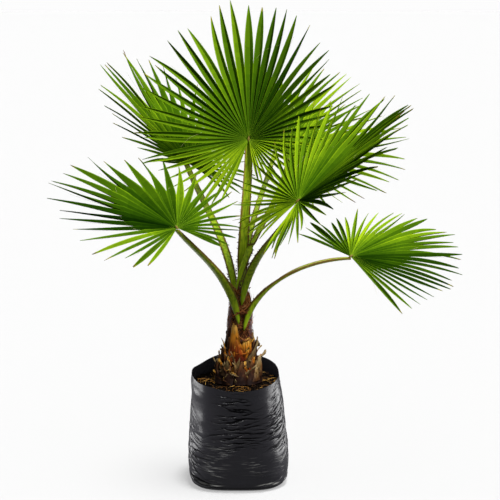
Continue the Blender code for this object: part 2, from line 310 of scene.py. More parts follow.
def make_piece(name, points, faces, materials, choices=None, smooth=True):
    """Object at the origin from points, arrays of faces with equal corners, and the material number of each face."""
    mesh = bpy.data.meshes.new(name)
    mesh.from_pydata(points.reshape(-1, 3).tolist(), [], [face for block in faces for face in block.tolist()])
    for material in materials:
        mesh.materials.append(material)
    if choices is not None:
        mesh.polygons.foreach_set("material_index", np.concatenate(choices).astype(np.int32))
    if smooth:
        mesh.shade_smooth()
        mesh.set_sharp_from_angle(angle=math.radians(50))
    mesh.update()
    piece = bpy.data.objects.new(name, mesh)
    bpy.context.collection.objects.link(piece)
    return piece


def add_values(piece, name, values):
    """Named value at each point of a piece, for its material to read."""
    attribute = piece.data.attributes.new(name, "FLOAT", "POINT")
    attribute.data.foreach_set("value", np.ascontiguousarray(values, dtype=np.float32).reshape(-1))


def tubes(lines, radii, sides):
    """Closed tubes round many lines at once, each ring square to its line and capped at both ends.

    lines is tubes by steps by 3 and radii tubes by steps. A ring's points stand at even angles from the
    level vector square to the line.
    """
    count, steps = radii.shape
    way = unit(np.gradient(lines, axis=1))
    level = np.cross(way, UPRIGHT)
    level = np.where(np.linalg.norm(level, axis=-1, keepdims=True) < 0.05, np.array([1.0, 0.0, 0.0]), level)
    level = unit(level)
    other = np.cross(way, level)
    angles = np.arange(sides) * 2 * math.pi / sides
    spokes = level[..., None, :] * np.cos(angles)[:, None] + other[..., None, :] * np.sin(angles)[:, None]
    points = lines[..., None, :] + spokes * radii[..., None, None]
    numbers = np.arange(count * steps * sides).reshape(count, steps, sides)
    walls = grid_faces(numbers, ring=True)
    return points, walls, numbers[:, 0, ::-1], numbers[:, -1, :]


def tube_piece(name, lines, radii, sides, materials, choice):
    """One joined piece of closed tubes, each with one of the materials."""
    points, walls, starts, ends = tubes(lines, radii, sides)
    per_tube = len(walls) // len(lines)
    blocks = [walls, starts, ends]
    choices = [np.repeat(choice, per_tube), choice, choice]
    return make_piece(name, points, blocks, materials, choices)


def finish_piece(piece, nodes=()):
    """Hands a piece to the body it rides on and the solids it stands for."""
    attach(piece, BODY)
    if nodes:
        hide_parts(*nodes)
    return piece


class Socket:
    """One output in a node tree. Arithmetic on it adds Math nodes."""

    def __init__(self, finish, output):
        self.finish = finish
        self.output = output

    def math(self, operation, *values):
        return self.finish.node("ShaderNodeMath", {"operation": operation}, dict(enumerate(values)))

    def __add__(self, other):
        return self.math("ADD", self, other)

    __radd__ = __add__

    def __sub__(self, other):
        return self.math("SUBTRACT", self, other)

    def __rsub__(self, other):
        return self.math("SUBTRACT", other, self)

    def __mul__(self, other):
        return self.math("MULTIPLY", self, other)

    __rmul__ = __mul__

    def __pow__(self, other):
        return self.math("POWER", self, other)

    def clamped(self):
        return self.math("MINIMUM", self.math("MAXIMUM", self, 0.0), 1.0)

    def above(self, start, end):
        """0 below start, 1 above end and even between."""
        return ((self - start) * (1 / (end - start))).clamped()


class Finish:
    """A material round one Principled BSDF, with calls that add its other nodes."""

    def __init__(self, name, **constants):
        self.material = bpy.data.materials.new(name)
        self.material.use_nodes = True
        self.tree = self.material.node_tree
        self.shader = self.tree.nodes["Principled BSDF"]
        for socket, value in constants.items():
            self.feed(self.shader.inputs[socket.replace("_", " ")], value)

    def feed(self, socket, value):
        if isinstance(value, Socket):
            self.tree.links.new(value.output, socket)
        elif hasattr(value, "__len__") and len(value) == 3 and socket.type == "RGBA":
            socket.default_value = (*value, 1.0)
        else:
            socket.default_value = value

    def node(self, kind, settings=None, sockets=None, output=0):
        """Node of a kind, its settings made first, then its sockets' values or links."""
        made = self.tree.nodes.new(kind)
        for name, value in (settings or {}).items():
            setattr(made, name, value)
        for name, value in (sockets or {}).items():
            self.feed(made.inputs[name], value)
        return Socket(self, made.outputs[output])

    def set(self, **sockets):
        for name, value in sockets.items():
            self.feed(self.shader.inputs[name.replace("_", " ")], value)
        return self

    def place(self, stretch=(1.0, 1.0, 1.0)):
        """Object coordinates, stretched along the axes."""
        there = self.node("ShaderNodeTexCoord", output="Object")
        return self.node("ShaderNodeMapping", {"vector_type": "POINT"}, {"Vector": there, "Scale": stretch})

    def noise(self, where, scale, detail=3.0, roughness=0.5):
        sockets = {"Vector": where, "Scale": scale, "Detail": detail, "Roughness": roughness}
        return self.node("ShaderNodeTexNoise", {"normalize": True}, sockets, output=0)

    def value(self, name):
        """A piece's own named value."""
        return self.node("ShaderNodeAttribute", {"attribute_name": name}, output="Fac")

    def mix(self, share, first, second):
        settings = {"data_type": "RGBA", "blend_type": "MIX"}
        made = self.tree.nodes.new("ShaderNodeMix")
        for name, value in settings.items():
            setattr(made, name, value)
        self.feed(made.inputs[0], share)
        self.feed(made.inputs[6], first)
        self.feed(made.inputs[7], second)
        return Socket(self, made.outputs[2])

    def cover(self, share, colour):
        """Lays a matte colour over the shader, by a share of 0 to 1."""
        matte = self.node("ShaderNodeBsdfDiffuse", {}, {"Color": colour})
        skin = Socket(self, self.shader.outputs["BSDF"])
        both = self.node("ShaderNodeMixShader", {}, {0: share, 1: skin, 2: matte})
        self.feed(self.tree.nodes["Material Output"].inputs["Surface"], both)

    def bump(self, height, depth, strength=1.0):
        return self.node("ShaderNodeBump", {}, {"Height": height, "Distance": depth, "Strength": strength})


def plain_finishes(name, colours, roughness, shine=0.06):
    """One material for each plain colour, for pieces whose colours are dealt out part by part."""
    return [
        Finish(f"{name}_{i}", Base_Color=colour, Roughness=roughness, Specular_IOR_Level=shine).material
        for i, colour in enumerate(colours)
    ]


def film_finish(settings):
    """Black film: painted shade in its wrinkles, with sheen that varies from patch to patch, pale rubbed scratches and
    painted highlights at its foot.
    """
    film = Finish("bag_film", Specular_IOR_Level=0.30)
    groove = film.value("groove")
    cloud = film.noise(film.place(), 14.0, 4.0)
    crinkle = film.noise(film.place((1.0, 1.0, 3.0)), 60.0, 4.0, 0.6)
    scratch = film.noise(film.place((6.0, 6.0, 75.0)), 5.0, 2.0).above(0.56, 0.68)
    # Pale rubbed scratches, with the painted highlights of the strokes at the foot
    wear_and_highlight = (scratch * film.value("rubbed") * 0.45 + film.value("pale")).clamped()
    film.set(
        Base_Color=film.mix(wear_and_highlight * 0.8, tuple(settings.colour), (0.90, 0.90, 0.86)),
        Roughness=settings.gloss + (cloud - 0.5) * 0.24 + wear_and_highlight * 0.2,
        Normal=film.bump(crinkle, 0.0004, 0.5),
    )
    # Painted shade: near-black matte laid over the wrinkles, along the bag's lower edge and over its inside
    film.cover(groove.above(0.10, 0.60) * 0.9, (0.0012, 0.0012, 0.0016))
    return film.material


def soil_finish(settings):
    """Dark crumbly soil, lighter on its crumbs."""
    soil = Finish("soil_mix", Roughness=0.95, Specular_IOR_Level=0.0)
    crumbs = soil.noise(soil.place(), 160.0, 5.0, 0.65)
    dark = tuple(settings.colour)
    light = tuple(c * 2.2 for c in dark)
    soil.set(Base_Color=soil.mix(crumbs.above(0.42, 0.66), dark, light), Normal=soil.bump(crumbs, 0.002))
    return soil.material


def stem_finish(settings):
    """Brown stem under its fibre, streaked lengthwise, with a grey-purple sheath towards its top and painted shade near
    the soil.
    """
    stem = Finish("stem_fibre", Roughness=0.7, Specular_IOR_Level=0.06)
    streaks = stem.noise(stem.place((1.0, 1.0, 0.14)), 210.0, 3.0)
    patches = stem.noise(stem.place(), 30.0, 3.0)
    rise = stem.node("ShaderNodeSeparateXYZ", {}, {"Vector": stem.place()}, output="Z")
    dark = tuple(c * 0.35 for c in settings.colour)
    low = stem.mix(streaks.above(0.35, 0.65), dark, tuple(settings.colour))
    sheath = stem.mix(streaks.above(0.35, 0.65), (0.090, 0.040, 0.034), (0.200, 0.130, 0.125))
    high = (rise + (patches - 0.5) * 0.05).above(SOIL_TOP + 0.105, SOIL_TOP + 0.125) * patches.above(0.40, 0.52)
    # Painted shade near the soil
    body = stem.mix(shade_near_soil(stem) * 0.9, stem.mix(high, low, sheath), (0.010, 0.003, 0.0015))
    stem.set(Base_Color=body, Normal=stem.bump(streaks, 0.0015))
    return stem.material


def shade_near_soil(finish):
    """Share of the painted shade near the soil: 1 in it, fading out a little above, unevenly."""
    rise = finish.node("ShaderNodeSeparateXYZ", {}, {"Vector": finish.place()}, output="Z")
    uneven = finish.noise(finish.place(), 55.0, 3.0) - 0.5
    return 1 - (rise + uneven * 0.09).above(SOIL_TOP, SOIL_TOP + 0.050)


def boot_finish(name, foot, middle, tip, roughness):
    """Dry leaf base: colours from foot to tip, darker along its edges, with lengthwise streaks and painted shade near
    the soil.
    """
    boot = Finish(name, Specular_IOR_Level=0.14)
    along, edge = boot.value("along"), boot.value("edge")
    streaks = boot.noise(boot.place((1.0, 1.0, 0.12)), 260.0, 3.0)
    body = boot.mix(along.above(0.15, 0.55), foot, middle)
    body = boot.mix((along + (streaks - 0.5) * 0.5).above(0.62, 0.90), body, tip)
    shade = (edge.above(0.66, 1.0) * 0.7 + streaks.above(0.48, 0.62) * 0.6).clamped()
    body = boot.mix(shade, body, tuple(c * 0.25 for c in foot))
    # Painted shade near the soil
    body = boot.mix(shade_near_soil(boot) * 0.9, body, (0.010, 0.003, 0.0015))
    boot.set(Base_Color=body, Roughness=roughness + (streaks - 0.5) * 0.3, Normal=boot.bump(streaks, 0.0007))
    return boot.material


def petiole_finish():
    """Green stalk, red-brown along its margins and towards its foot, with fine lengthwise streaks."""
    stalk = Finish("petiole_skin", Specular_IOR_Level=0.10)
    along, margin = stalk.value("along"), stalk.value("margin")
    streaks = stalk.noise(stalk.place((1.0, 1.0, 0.10)), 240.0, 2.0)
    blotch = stalk.noise(stalk.place(), 40.0, 3.0)
    green = stalk.mix(streaks.above(0.35, 0.7), (0.165, 0.285, 0.007), (0.420, 0.550, 0.018))
    green = stalk.mix(along.above(0.02, 0.18), (0.34, 0.52, 0.014), green)
    edge = (margin + along.above(0.06, 0.20) * (1 - along) * 0.20 + (blotch - 0.5) * 0.50).above(0.66, 0.90)
    brown = stalk.mix(along.above(0.30, 0.75), (0.100, 0.033, 0.011), (0.240, 0.105, 0.036))
    body = stalk.mix(edge * 0.85, green, brown)
    stalk.set(Base_Color=body, Roughness=0.42 + (blotch - 0.5) * 0.2, Normal=stalk.bump(streaks, 0.0004, 0.6))
    return stalk.material


def bag_point_radius(turns, share, inset):
    """Distance of the wall from the bag's axis: the profile's half width over a superellipse."""
    power = np.interp(share, (0.0, 0.5), (BAG_FOOT_SQUARENESS, BAG_SQUARENESS))
    squared = np.abs(np.cos(turns)) ** power + np.abs(np.sin(turns)) ** power
    shares, radii = zip(*BAG_PROFILE)
    return (np.interp(share, shares, radii) - inset) * squared ** (-1 / power)


def mouth_height(turns):
    """Height of the bag's mouth: low in front, high behind, a little higher on the left, with one dip behind."""
    away = (np.degrees(turns) - BAG_MOUTH_DIP_AT) / BAG_MOUTH_DIP_SPREAD
    dip = BAG_MOUTH_DIP * np.exp(-(away**2))
    return BAG_HEIGHT + BAG_MOUTH_TILT * np.sin(turns) + BAG_MOUTH_SKEW * np.cos(turns) - dip


def bag_shift(share):
    return BAG_MOUTH_SHIFT * np.clip(share - 0.5, 0, 1) * 2


SLACK_PATCHES = (
    # turn, its spread, height, its spread, how much looser than the rest
    (-90, 24, 0.175, 0.065, 1.3),
    (-26, 24, 0.150, 0.090, 0.8),
    (-164, 18, 0.110, 0.070, 0.5),
    (-76, 34, 0.060, 0.048, -1.0),
    (-130, 18, 0.190, 0.060, -1.2),
    (-54, 12, 0.215, 0.036, -1.2),
    (-138, 20, 0.075, 0.035, 0.6),
    (95, 40, 0.170, 0.060, 0.8),
    (150, 30, 0.070, 0.050, 0.5),
)


def slackness(turns, heights):
    """How loose the film is: random patches all round, with the loose and taut ones of the list added."""
    draw = np.random.default_rng(17)
    slack = 0.36 + 0.42 * smooth_noise(turns / (2 * math.pi), heights / 0.30, draw, (9, 5), around=True)
    for turn, wide, height, tall, gain in SLACK_PATCHES:
        away = (np.degrees(turns) - turn + 180) % 360 - 180
        slack += gain * np.exp(-((away / wide) ** 2) - ((heights - height) / tall) ** 2)
    return np.clip(slack, 0.0, 1.35)


def wrinkles(turns, heights, settings):
    """Depth of short sharp wrinkles, 1 at the deepest: level in front and behind, climbing towards both sides.

    Their places come from the plane's R2 sequence, so that they keep apart, and each is as deep as the film
    there is loose. One falls off by exp(-(along / length)²) and across it by 1 - (across / width)², and waves
    a little. Those of the list at the foot are added.
    """
    draw = np.random.default_rng(19)
    total = np.zeros(turns.shape)
    for index in range(1, settings.wrinkles + 1):
        turn = 2 * math.pi * ((index * 0.7548777) % 1.0) - math.pi
        height = 0.004 + 0.275 * ((index * 0.5698403) % 1.0)
        slack = float(slackness(np.array([turn]), np.array([height]))[0])
        length, width = draw.uniform(0.008, 0.032), draw.uniform(0.0012, 0.0028)
        turn, height = turn + draw.normal(0, 0.05), height + draw.normal(0, 0.003)
        tilt, bend = 0.50 * math.cos(turn) ** 3 + draw.normal(0, 0.09), draw.normal(0, 5.0)
        wave, phase = draw.uniform(0.0001, 0.0008), draw.uniform(0, 2 * math.pi)
        if slack < 0.25:
            continue
        away = (turns - turn + math.pi) % (2 * math.pi) - math.pi
        sideways, upward = away * BAG_PROFILE[4][1], heights - height
        along = sideways * math.cos(tilt) + upward * math.sin(tilt)
        across = upward * math.cos(tilt) - sideways * math.sin(tilt) + bend * along**2
        across = across + wave * np.sin(along * 190 + phase)
        single = np.exp(-((along / length) ** 2)) * np.maximum(0, 1 - (across / width) ** 2)
        total = np.maximum(total, min(1.0, slack) * single)
    # Painted contact shadow along the bag's lower edge; it also draws the wall in a little there
    underside = np.clip(1.8 - heights / 0.0075, 0, 1)
    return np.maximum(np.maximum(total, strokes(turns, heights, FOOT_GROOVES)), underside)


def strokes(turns, heights, rows):
    """Strongest of a list of short strokes: strength * exp(-(along / length)²) * (1 - (across / width)²)."""
    total = np.zeros(turns.shape)
    for turn, height, tilt, length, width, strength, bend in rows:
        tilt = math.radians(tilt)
        away = (turns - math.radians(turn) + math.pi) % (2 * math.pi) - math.pi
        sideways, upward = away * BAG_PROFILE[4][1], heights - height
        along = sideways * math.cos(tilt) + upward * math.sin(tilt)
        across = upward * math.cos(tilt) - sideways * math.sin(tilt) + bend * along**2
        total = np.maximum(total, strength * np.exp(-((along / length) ** 2)) * np.maximum(0, 1 - (across / width) ** 2))
    return total


FOOT_GROOVES = (
    # turn, height, tilt from level, length, width, strength, bend
    (-138, 0.024, -10, 0.036, 0.0052, 1.6, 0),
    (-126, 0.016, -8, 0.024, 0.0026, 1.2, 0),
    (-112, 0.011, -3, 0.030, 0.0022, 0.9, 2),
    (-70, 0.007, 2, 0.026, 0.0020, 0.8, 2),
    (-30, 0.012, 9, 0.030, 0.0030, 1.2, 3),
    (-146, 0.060, -30, 0.022, 0.0022, 0.9, 3),
    (-138, 0.046, -24, 0.022, 0.0020, 0.8, 3),
    (172, 0.060, 10, 0.030, 0.0030, 1.0, 3),
)
# Painted highlights: pale crescents along the folds at the foot; the thin ones higher up are pale scratches
HIGHLIGHT_AND_SCRATCH_STROKES = (
    # turn, height, tilt from level, length, width, strength, bend
    (-128, 0.0180, -9, 0.013, 0.0021, 1.6, -3),
    (-116, 0.0155, -2, 0.012, 0.0022, 1.6, -3),
    (-58, 0.0175, 4, 0.014, 0.0022, 1.6, 2),
    (-47, 0.0160, 8, 0.007, 0.0019, 1.4, 2),
    (-124, 0.070, -24, 0.009, 0.0009, 0.5, 2),
    (-112, 0.042, -14, 0.012, 0.0009, 0.5, 2),
    (-116, 0.108, -4, 0.010, 0.0008, 0.5, 2),
)
RUBBED_PATCHES = (
    # turn, its spread, height, its spread
    (-112, 10, 0.105, 0.050),
    (-72, 12, 0.068, 0.016),
    (-116, 10, 0.055, 0.030),
    (-30, 16, 0.085, 0.050),
    (60, 30, 0.090, 0.050),
    (150, 30, 0.120, 0.050),
)


def rubbed(turns, heights):
    """How far the film is rubbed pale: patches in which scratches show, each exp(-(turn)² - (height)²)."""
    total = np.zeros(turns.shape)
    for turn, wide, height, tall in RUBBED_PATCHES:
        away = (np.degrees(turns) - turn + 180) % 360 - 180
        total = np.maximum(total, np.exp(-((away / wide) ** 2) - ((heights - height) / tall) ** 2))
    return total


NAMED_FOLDS = (
    # turn, height, tilt from level, length, width, depth of the folds at the foot and on the left
    (-130, 0.024, -20, 0.036, 0.0034, -0.0058),
    (-124, 0.013, -12, 0.030, 0.0030, 0.0048),
    (-104, 0.008, -2, 0.026, 0.0024, 0.0030),
    (-60, 0.010, 8, 0.026, 0.0026, 0.0044),
    (-52, 0.020, 18, 0.034, 0.0034, -0.0052),
    (-146, 0.098, -34, 0.050, 0.0030, 0.0034),
    (-138, 0.074, -30, 0.044, 0.0026, 0.0030),
    (-126, 0.056, -24, 0.038, 0.0020, 0.0028),
    (-116, 0.044, -18, 0.030, 0.0018, 0.0022),
    (-64, 0.050, 6, 0.020, 0.0018, 0.0022),
    (-60, 0.040, 3, 0.018, 0.0016, 0.0020),
    (-30, 0.016, 8, 0.026, 0.0028, 0.0040),
)


def fold(turns, heights, place, tilt, size, bend=0.0):
    """One fold at place (turn, height): depth * exp(-(along / length)²) * exp(-|across| / width), with a sharp crest."""
    length, width, depth = size
    away = (turns - place[0] + math.pi) % (2 * math.pi) - math.pi
    sideways, upward = away * BAG_PROFILE[4][1], heights - place[1]
    along = sideways * math.cos(tilt) + upward * math.sin(tilt)
    across = upward * math.cos(tilt) - sideways * math.sin(tilt) + bend * along**2
    return depth * np.exp(-((along / length) ** 2)) * np.exp(-np.abs(across) / width)


def folds(turns, heights, settings):
    """Sum of the named folds and of random ones."""
    draw = np.random.default_rng(11)
    total = np.zeros(turns.shape)
    for turn, height, tilt, length, width, depth in NAMED_FOLDS:
        total += fold(turns, heights, (math.radians(turn), height), math.radians(tilt), (length, width, depth))
    for index in range(settings.creases):
        low = index % 3 == 0
        middle_turn = draw.uniform(0, 2 * math.pi)
        middle_height = draw.uniform(0.006, 0.040) if low else BAG_HEIGHT * draw.beta(1.6, 1.3)
        tilt = draw.normal(0, 0.20) + 0.55 * math.cos(middle_turn) * draw.uniform(0.4, 1.2)
        length = draw.uniform(0.014, 0.055)
        width = draw.uniform(0.0016, 0.0045)
        loose = min(1.0, float(slackness(np.array([middle_turn]), np.array([middle_height]))[0]) * 1.3)
        depth = settings.crease_depth * draw.uniform(0.2, 0.8) * draw.choice([-1.0, 1.0]) * loose
        bend = draw.normal(0, 4.0)
        total += fold(turns, heights, (middle_turn, middle_height), tilt, (length, width, depth), bend)
    return total


class PALM_OT_bag(bpy.types.Operator):
    """Soft film bag: one skin from the middle of its underside up the creased wall, over the mouth and down inside"""

    bl_idname = "palm.bag"
    bl_label = "Grow bag"

    def execute(self, context):
        settings = context.scene.palm_bag
        draw = np.random.default_rng(3)
        columns, wall_rows, inner_rows = 340, 254, 20
        turns = np.arange(columns) * 2 * math.pi / columns
        floor = np.linspace(0.02, 1.0, 8)[:-1]
        outer_share = np.concatenate([floor * 0, np.linspace(0, 1, wall_rows)])
        shares, around = np.meshgrid(outer_share, turns, indexing="ij")
        ripple = 0.0022 * smooth_noise(around / (2 * math.pi), shares, draw, (15, 1), around=True)
        heights = shares * (mouth_height(around) + ripple * shares**4)
        radius = bag_point_radius(around, shares, 0.0)
        radius[: len(floor)] *= floor[:, None]
        loose = np.clip(shares * 14, 0, 1) * (1 - 0.55 * np.clip((shares - 0.93) / 0.07, 0, 1))
        billow = smooth_noise(around / (2 * math.pi), shares, draw, (9, 4), around=True) * 0.0026
        billow += smooth_noise(around / (2 * math.pi), shares, draw, (17, 15), around=True) * 0.0010
        depth = wrinkles(around, heights, settings) * loose
        radius += (billow + folds(around, heights, settings)) * loose - depth * settings.wrinkle_depth
        outer = np.stack([radius * np.cos(around) + bag_shift(shares), radius * np.sin(around), heights], axis=-1)
        lip_turn = np.linspace(0, math.pi, 5)[1:-1, None]
        edge, half = outer[-1], settings.film / 2
        outward = np.stack([np.cos(turns), np.sin(turns), np.zeros(columns)], axis=-1)
        lip = edge[None] - outward * (half * (1 - np.cos(lip_turn)))[..., None]
        lip = lip + UPRIGHT * (half * np.sin(lip_turn))[..., None]
        rim_rows = np.linspace(wall_rows - 1, wall_rows - 1 - 54, inner_rows).astype(int) + len(floor)
        inner = outer[rim_rows] - outward * settings.film
        points = np.concatenate([outer, lip, inner])
        rows = len(points)
        numbers = np.arange(rows * columns).reshape(rows, columns)
        walls = grid_faces(numbers, ring=True)
        underside = numbers[0, ::-1][None]
        bottom = numbers[-1][None]
        piece = make_piece("grow_bag_film", points, [walls, underside, bottom], [film_finish(settings)])
        inside = np.zeros((rows - len(depth), columns))
        # Painted shade over the whole inside of the bag, 0.40 of the darkest wrinkle
        dim = inside + 0.40
        # The wrinkles' depth is also their painted shade
        add_values(piece, "groove", np.concatenate([depth, dim]))
        add_values(piece, "rubbed", np.concatenate([rubbed(around, heights), inside]))
        # Painted highlights at the foot, and a few pale scratches
        add_values(piece, "pale", np.concatenate([strokes(around, heights, HIGHLIGHT_AND_SCRATCH_STROKES), inside]))
        finish_piece(piece, ["grow_bag"])
        return {"FINISHED"}


def soil_height(x, y, settings, draw):
    """Soil surface: crumbs on a gentle fall from the stem to the wall."""
    u, v = (x + 0.13) / 0.26, (y + 0.13) / 0.26
    rough = smooth_noise(u, v, draw, (70, 70)) + 0.8 * smooth_noise(u, v, draw, (28, 28))
    rise = 0.004 * np.exp(-(((np.hypot(x, y) - 0.03) / 0.035) ** 2))
    return SOIL_TOP - 0.003 + rise + settings.crumb * 0.5 * rough


class PALM_OT_soil(bpy.types.Operator):
    """Soil in the bag, with loose crumbs, and straw fibres that lie on it"""

    bl_idname = "palm.soil"
    bl_label = "Soil"

    def execute(self, context):
        settings = context.scene.palm_soil
        draw = np.random.default_rng(21)
        columns, rows = 220, 90
        turns = np.arange(columns) * 2 * math.pi / columns
        share = SOIL_TOP / mouth_height(turns)
        wall = bag_point_radius(turns, share, 0.0022)
        out = np.linspace(0.004, 1.0, rows)[:, None]
        x = out * wall * np.cos(turns) + bag_shift(share)
        y = out * wall * np.sin(turns)
        top = np.stack([x, y, soil_height(x, y, settings, draw)], axis=-1)
        skirt = top[-1] - UPRIGHT * 0.02
        points = np.concatenate([skirt[None], top[::-1]])
        numbers = np.arange(len(points) * columns).reshape(-1, columns)
        faces = [grid_faces(numbers, ring=True), numbers[0, ::-1][None], numbers[-1][None]]
        soil = make_piece("soil_top", points, faces, [soil_finish(settings)])
        finish_piece(soil, ["soil"])
        self.add_crumbs(settings, draw)
        self.add_straw(settings, draw)
        return {"FINISHED"}

    def spots(self, count, draw, inner, outer):
        """Even random spots on the ring of soil between the stem and the wall."""
        turns = draw.uniform(0, 2 * math.pi, count)
        radius = np.sqrt(draw.uniform(inner**2, outer**2, count))
        return radius * np.cos(turns), radius * np.sin(turns)

    def add_crumbs(self, settings, draw):
        """Lumps of six by four points, each a squashed ball with uneven radii."""
        count = settings.crumbs
        x, y = self.spots(count, draw, 0.045, 0.104)
        size = draw.uniform(0.0011, 0.0034, count)
        lat = np.linspace(0.12, math.pi - 0.12, 5)
        lon = np.arange(6) * 2 * math.pi / 6
        ball = np.stack(
            [
                np.sin(lat)[:, None] * np.cos(lon),
                np.sin(lat)[:, None] * np.sin(lon),
                0.7 * np.cos(lat)[:, None] * np.ones(6),
            ],
            axis=-1,
        )
        lumps = ball[None] * draw.uniform(0.65, 1.25, (count, 5, 6, 1)) * size[:, None, None, None]
        middle = np.stack([x, y, np.full(count, SOIL_TOP - 0.001) + size * 0.3], axis=-1)
        points = lumps + middle[:, None, None]
        numbers = np.arange(count * 30).reshape(count, 5, 6)
        walls = grid_faces(numbers, ring=True)
        faces = [walls[:, ::-1], numbers[:, 0], numbers[:, -1, ::-1]]
        choice = draw.choice(3, count, p=[0.60, 0.35, 0.05])
        choices = [np.repeat(choice, len(walls) // count), choice, choice]
        colours = [(0.003, 0.002, 0.0015), (0.008, 0.005, 0.003), (0.070, 0.036, 0.011)]
        crumbs = make_piece("soil_crumbs", points, faces, plain_finishes("crumb", colours, 0.95), choices)
        finish_piece(crumbs)

    def add_straw(self, settings, draw):
        """Bent straws: each follows an arc of a random curl, lying on the soil, thin at both ends."""
        count = settings.straws
        steps = 11
        x, y = self.spots(count, draw, 0.056, 0.100)
        heading = draw.uniform(0, 2 * math.pi, count)
        curl = draw.normal(0, 3.0, count)
        length = draw.uniform(0.016, 0.085, count) * draw.uniform(0.4, 1.0, count)
        t = np.linspace(-0.5, 0.5, steps)
        way = heading[:, None] + curl[:, None] * t * 2
        stride = (length / (steps - 1))[:, None]
        px = x[:, None] + np.cumsum(np.cos(way) * stride, axis=1)
        py = y[:, None] + np.cumsum(np.sin(way) * stride, axis=1)
        reach = np.hypot(px, py)
        keep = np.minimum(1.0, 0.1015 / reach) * np.maximum(1.0, 0.046 / reach)
        px, py = px * keep, py * keep
        lift = draw.uniform(0.0006, 0.0045, count)[:, None] + draw.normal(0, 0.0048, count)[:, None] * t
        lift = np.maximum(lift + draw.uniform(0, 0.005, count)[:, None] * (0.25 - t**2) * 4, 0.0003)
        lines = np.stack([px, py, SOIL_TOP - 0.0015 + lift], axis=-1)
        radii = draw.uniform(0.00030, 0.00075, count)[:, None] * (1 - (2 * np.abs(t)) ** 3 * 0.7)
        colours = [(0.480, 0.270, 0.062), (0.260, 0.120, 0.024), (0.110, 0.048, 0.012), (0.030, 0.014, 0.006)]
        straw = plain_finishes("straw", colours, 0.6)
        choice = draw.choice(4, count, p=[0.20, 0.28, 0.27, 0.25])
        piece = tube_piece("soil_straw", lines, radii, 4, straw, choice)
        finish_piece(piece)


CROSSING_STRANDS = (
    # across and height of one end, then of the other, and how far out they pass
    (-0.026, 0.500, 0.023, 0.462, 0.036),
    (-0.004, 0.508, -0.013, 0.466, 0.034),
    (-0.019, 0.424, 0.024, 0.454, 0.045),
    (-0.012, 0.432, 0.026, 0.440, 0.046),
    (0.010, 0.462, 0.016, 0.486, 0.036),
    (-0.018, 0.470, 0.004, 0.444, 0.037),
    (-0.006, 0.374, 0.028, 0.362, 0.042),
    (-0.002, 0.368, 0.028, 0.372, 0.041),
    (0.020, 0.430, -0.004, 0.448, 0.044),
)


def stem_radius(height):
    rises, radii = zip(*STEM_PROFILE)
    return np.interp(np.asarray(height) - SOIL_TOP, rises, radii)


def stem_middle(height):
    height = np.asarray(height, dtype=float)
    return np.stack([STEM_LEAN * (height - SOIL_TOP), height * 0, height], axis=-1)


@dataclass
class Boot:
    """One dry leaf base on the stem. Angles in degrees, lengths in metres."""

    turn: float  # side of the stem, round from +X
    foot: float  # height of its foot above the soil
    length: float
    half_width: float
    tip_share: float  # half width at its tip, as a share
    off: float  # how far its foot stands off the stem
    splay: float  # how far its tip stands off the stem
    slant: float  # how far its tip lies round from its foot
    thickness: float
    ragged: float  # share of its length torn off between its points
    finish: int


def boot_mesh(boot, draw):
    """Shell round a curved scale. Half width falls from foot to tip by (1 - v^1.6), the tip stands off by v², and
    its torn end goes up and down across the width."""
    rows, columns = 14, 13
    v = np.linspace(0, 1, rows)[:, None]
    w = np.linspace(-1, 1, columns)[None]
    torn = boot.ragged * np.abs(smooth_noise((w + 1) / 2, w * 0, draw, (6, 1)))
    pointed = 0.16 * np.abs(w) ** 1.5
    height = SOIL_TOP + boot.foot + v * boot.length * (1 - torn - pointed)
    half = boot.half_width * (boot.tip_share + (1 - boot.tip_share) * (1 - v**1.6))
    bulge = 0.55 * boot.half_width * (1 - w**2) * (0.35 + 0.65 * v * (1 - v) * 3)
    near = stem_radius(height) * 0.93 + boot.off + boot.splay * v**2 + bulge * 0.5
    near = near + smooth_noise((w + 1) / 2 + v * 0, v + w * 0, draw, (4, 5)) * 0.0010
    thick = boot.thickness * (1 - 0.6 * v) * (1 - 0.75 * w**4)
    turn = math.radians(boot.turn) + math.radians(boot.slant) * v + w * half / np.maximum(near, 0.012)
    layers = []
    for radius in (near + thick, near):
        around = np.stack([radius * np.cos(turn), radius * np.sin(turn), turn * 0], axis=-1)
        layers.append(around + stem_middle(height))
    points = np.concatenate([layers[0], layers[1][:, ::-1]], axis=1)
    edge = np.concatenate([np.abs(w), np.abs(w[:, ::-1])], axis=1) + v * 0
    return points, v + edge * 0, edge


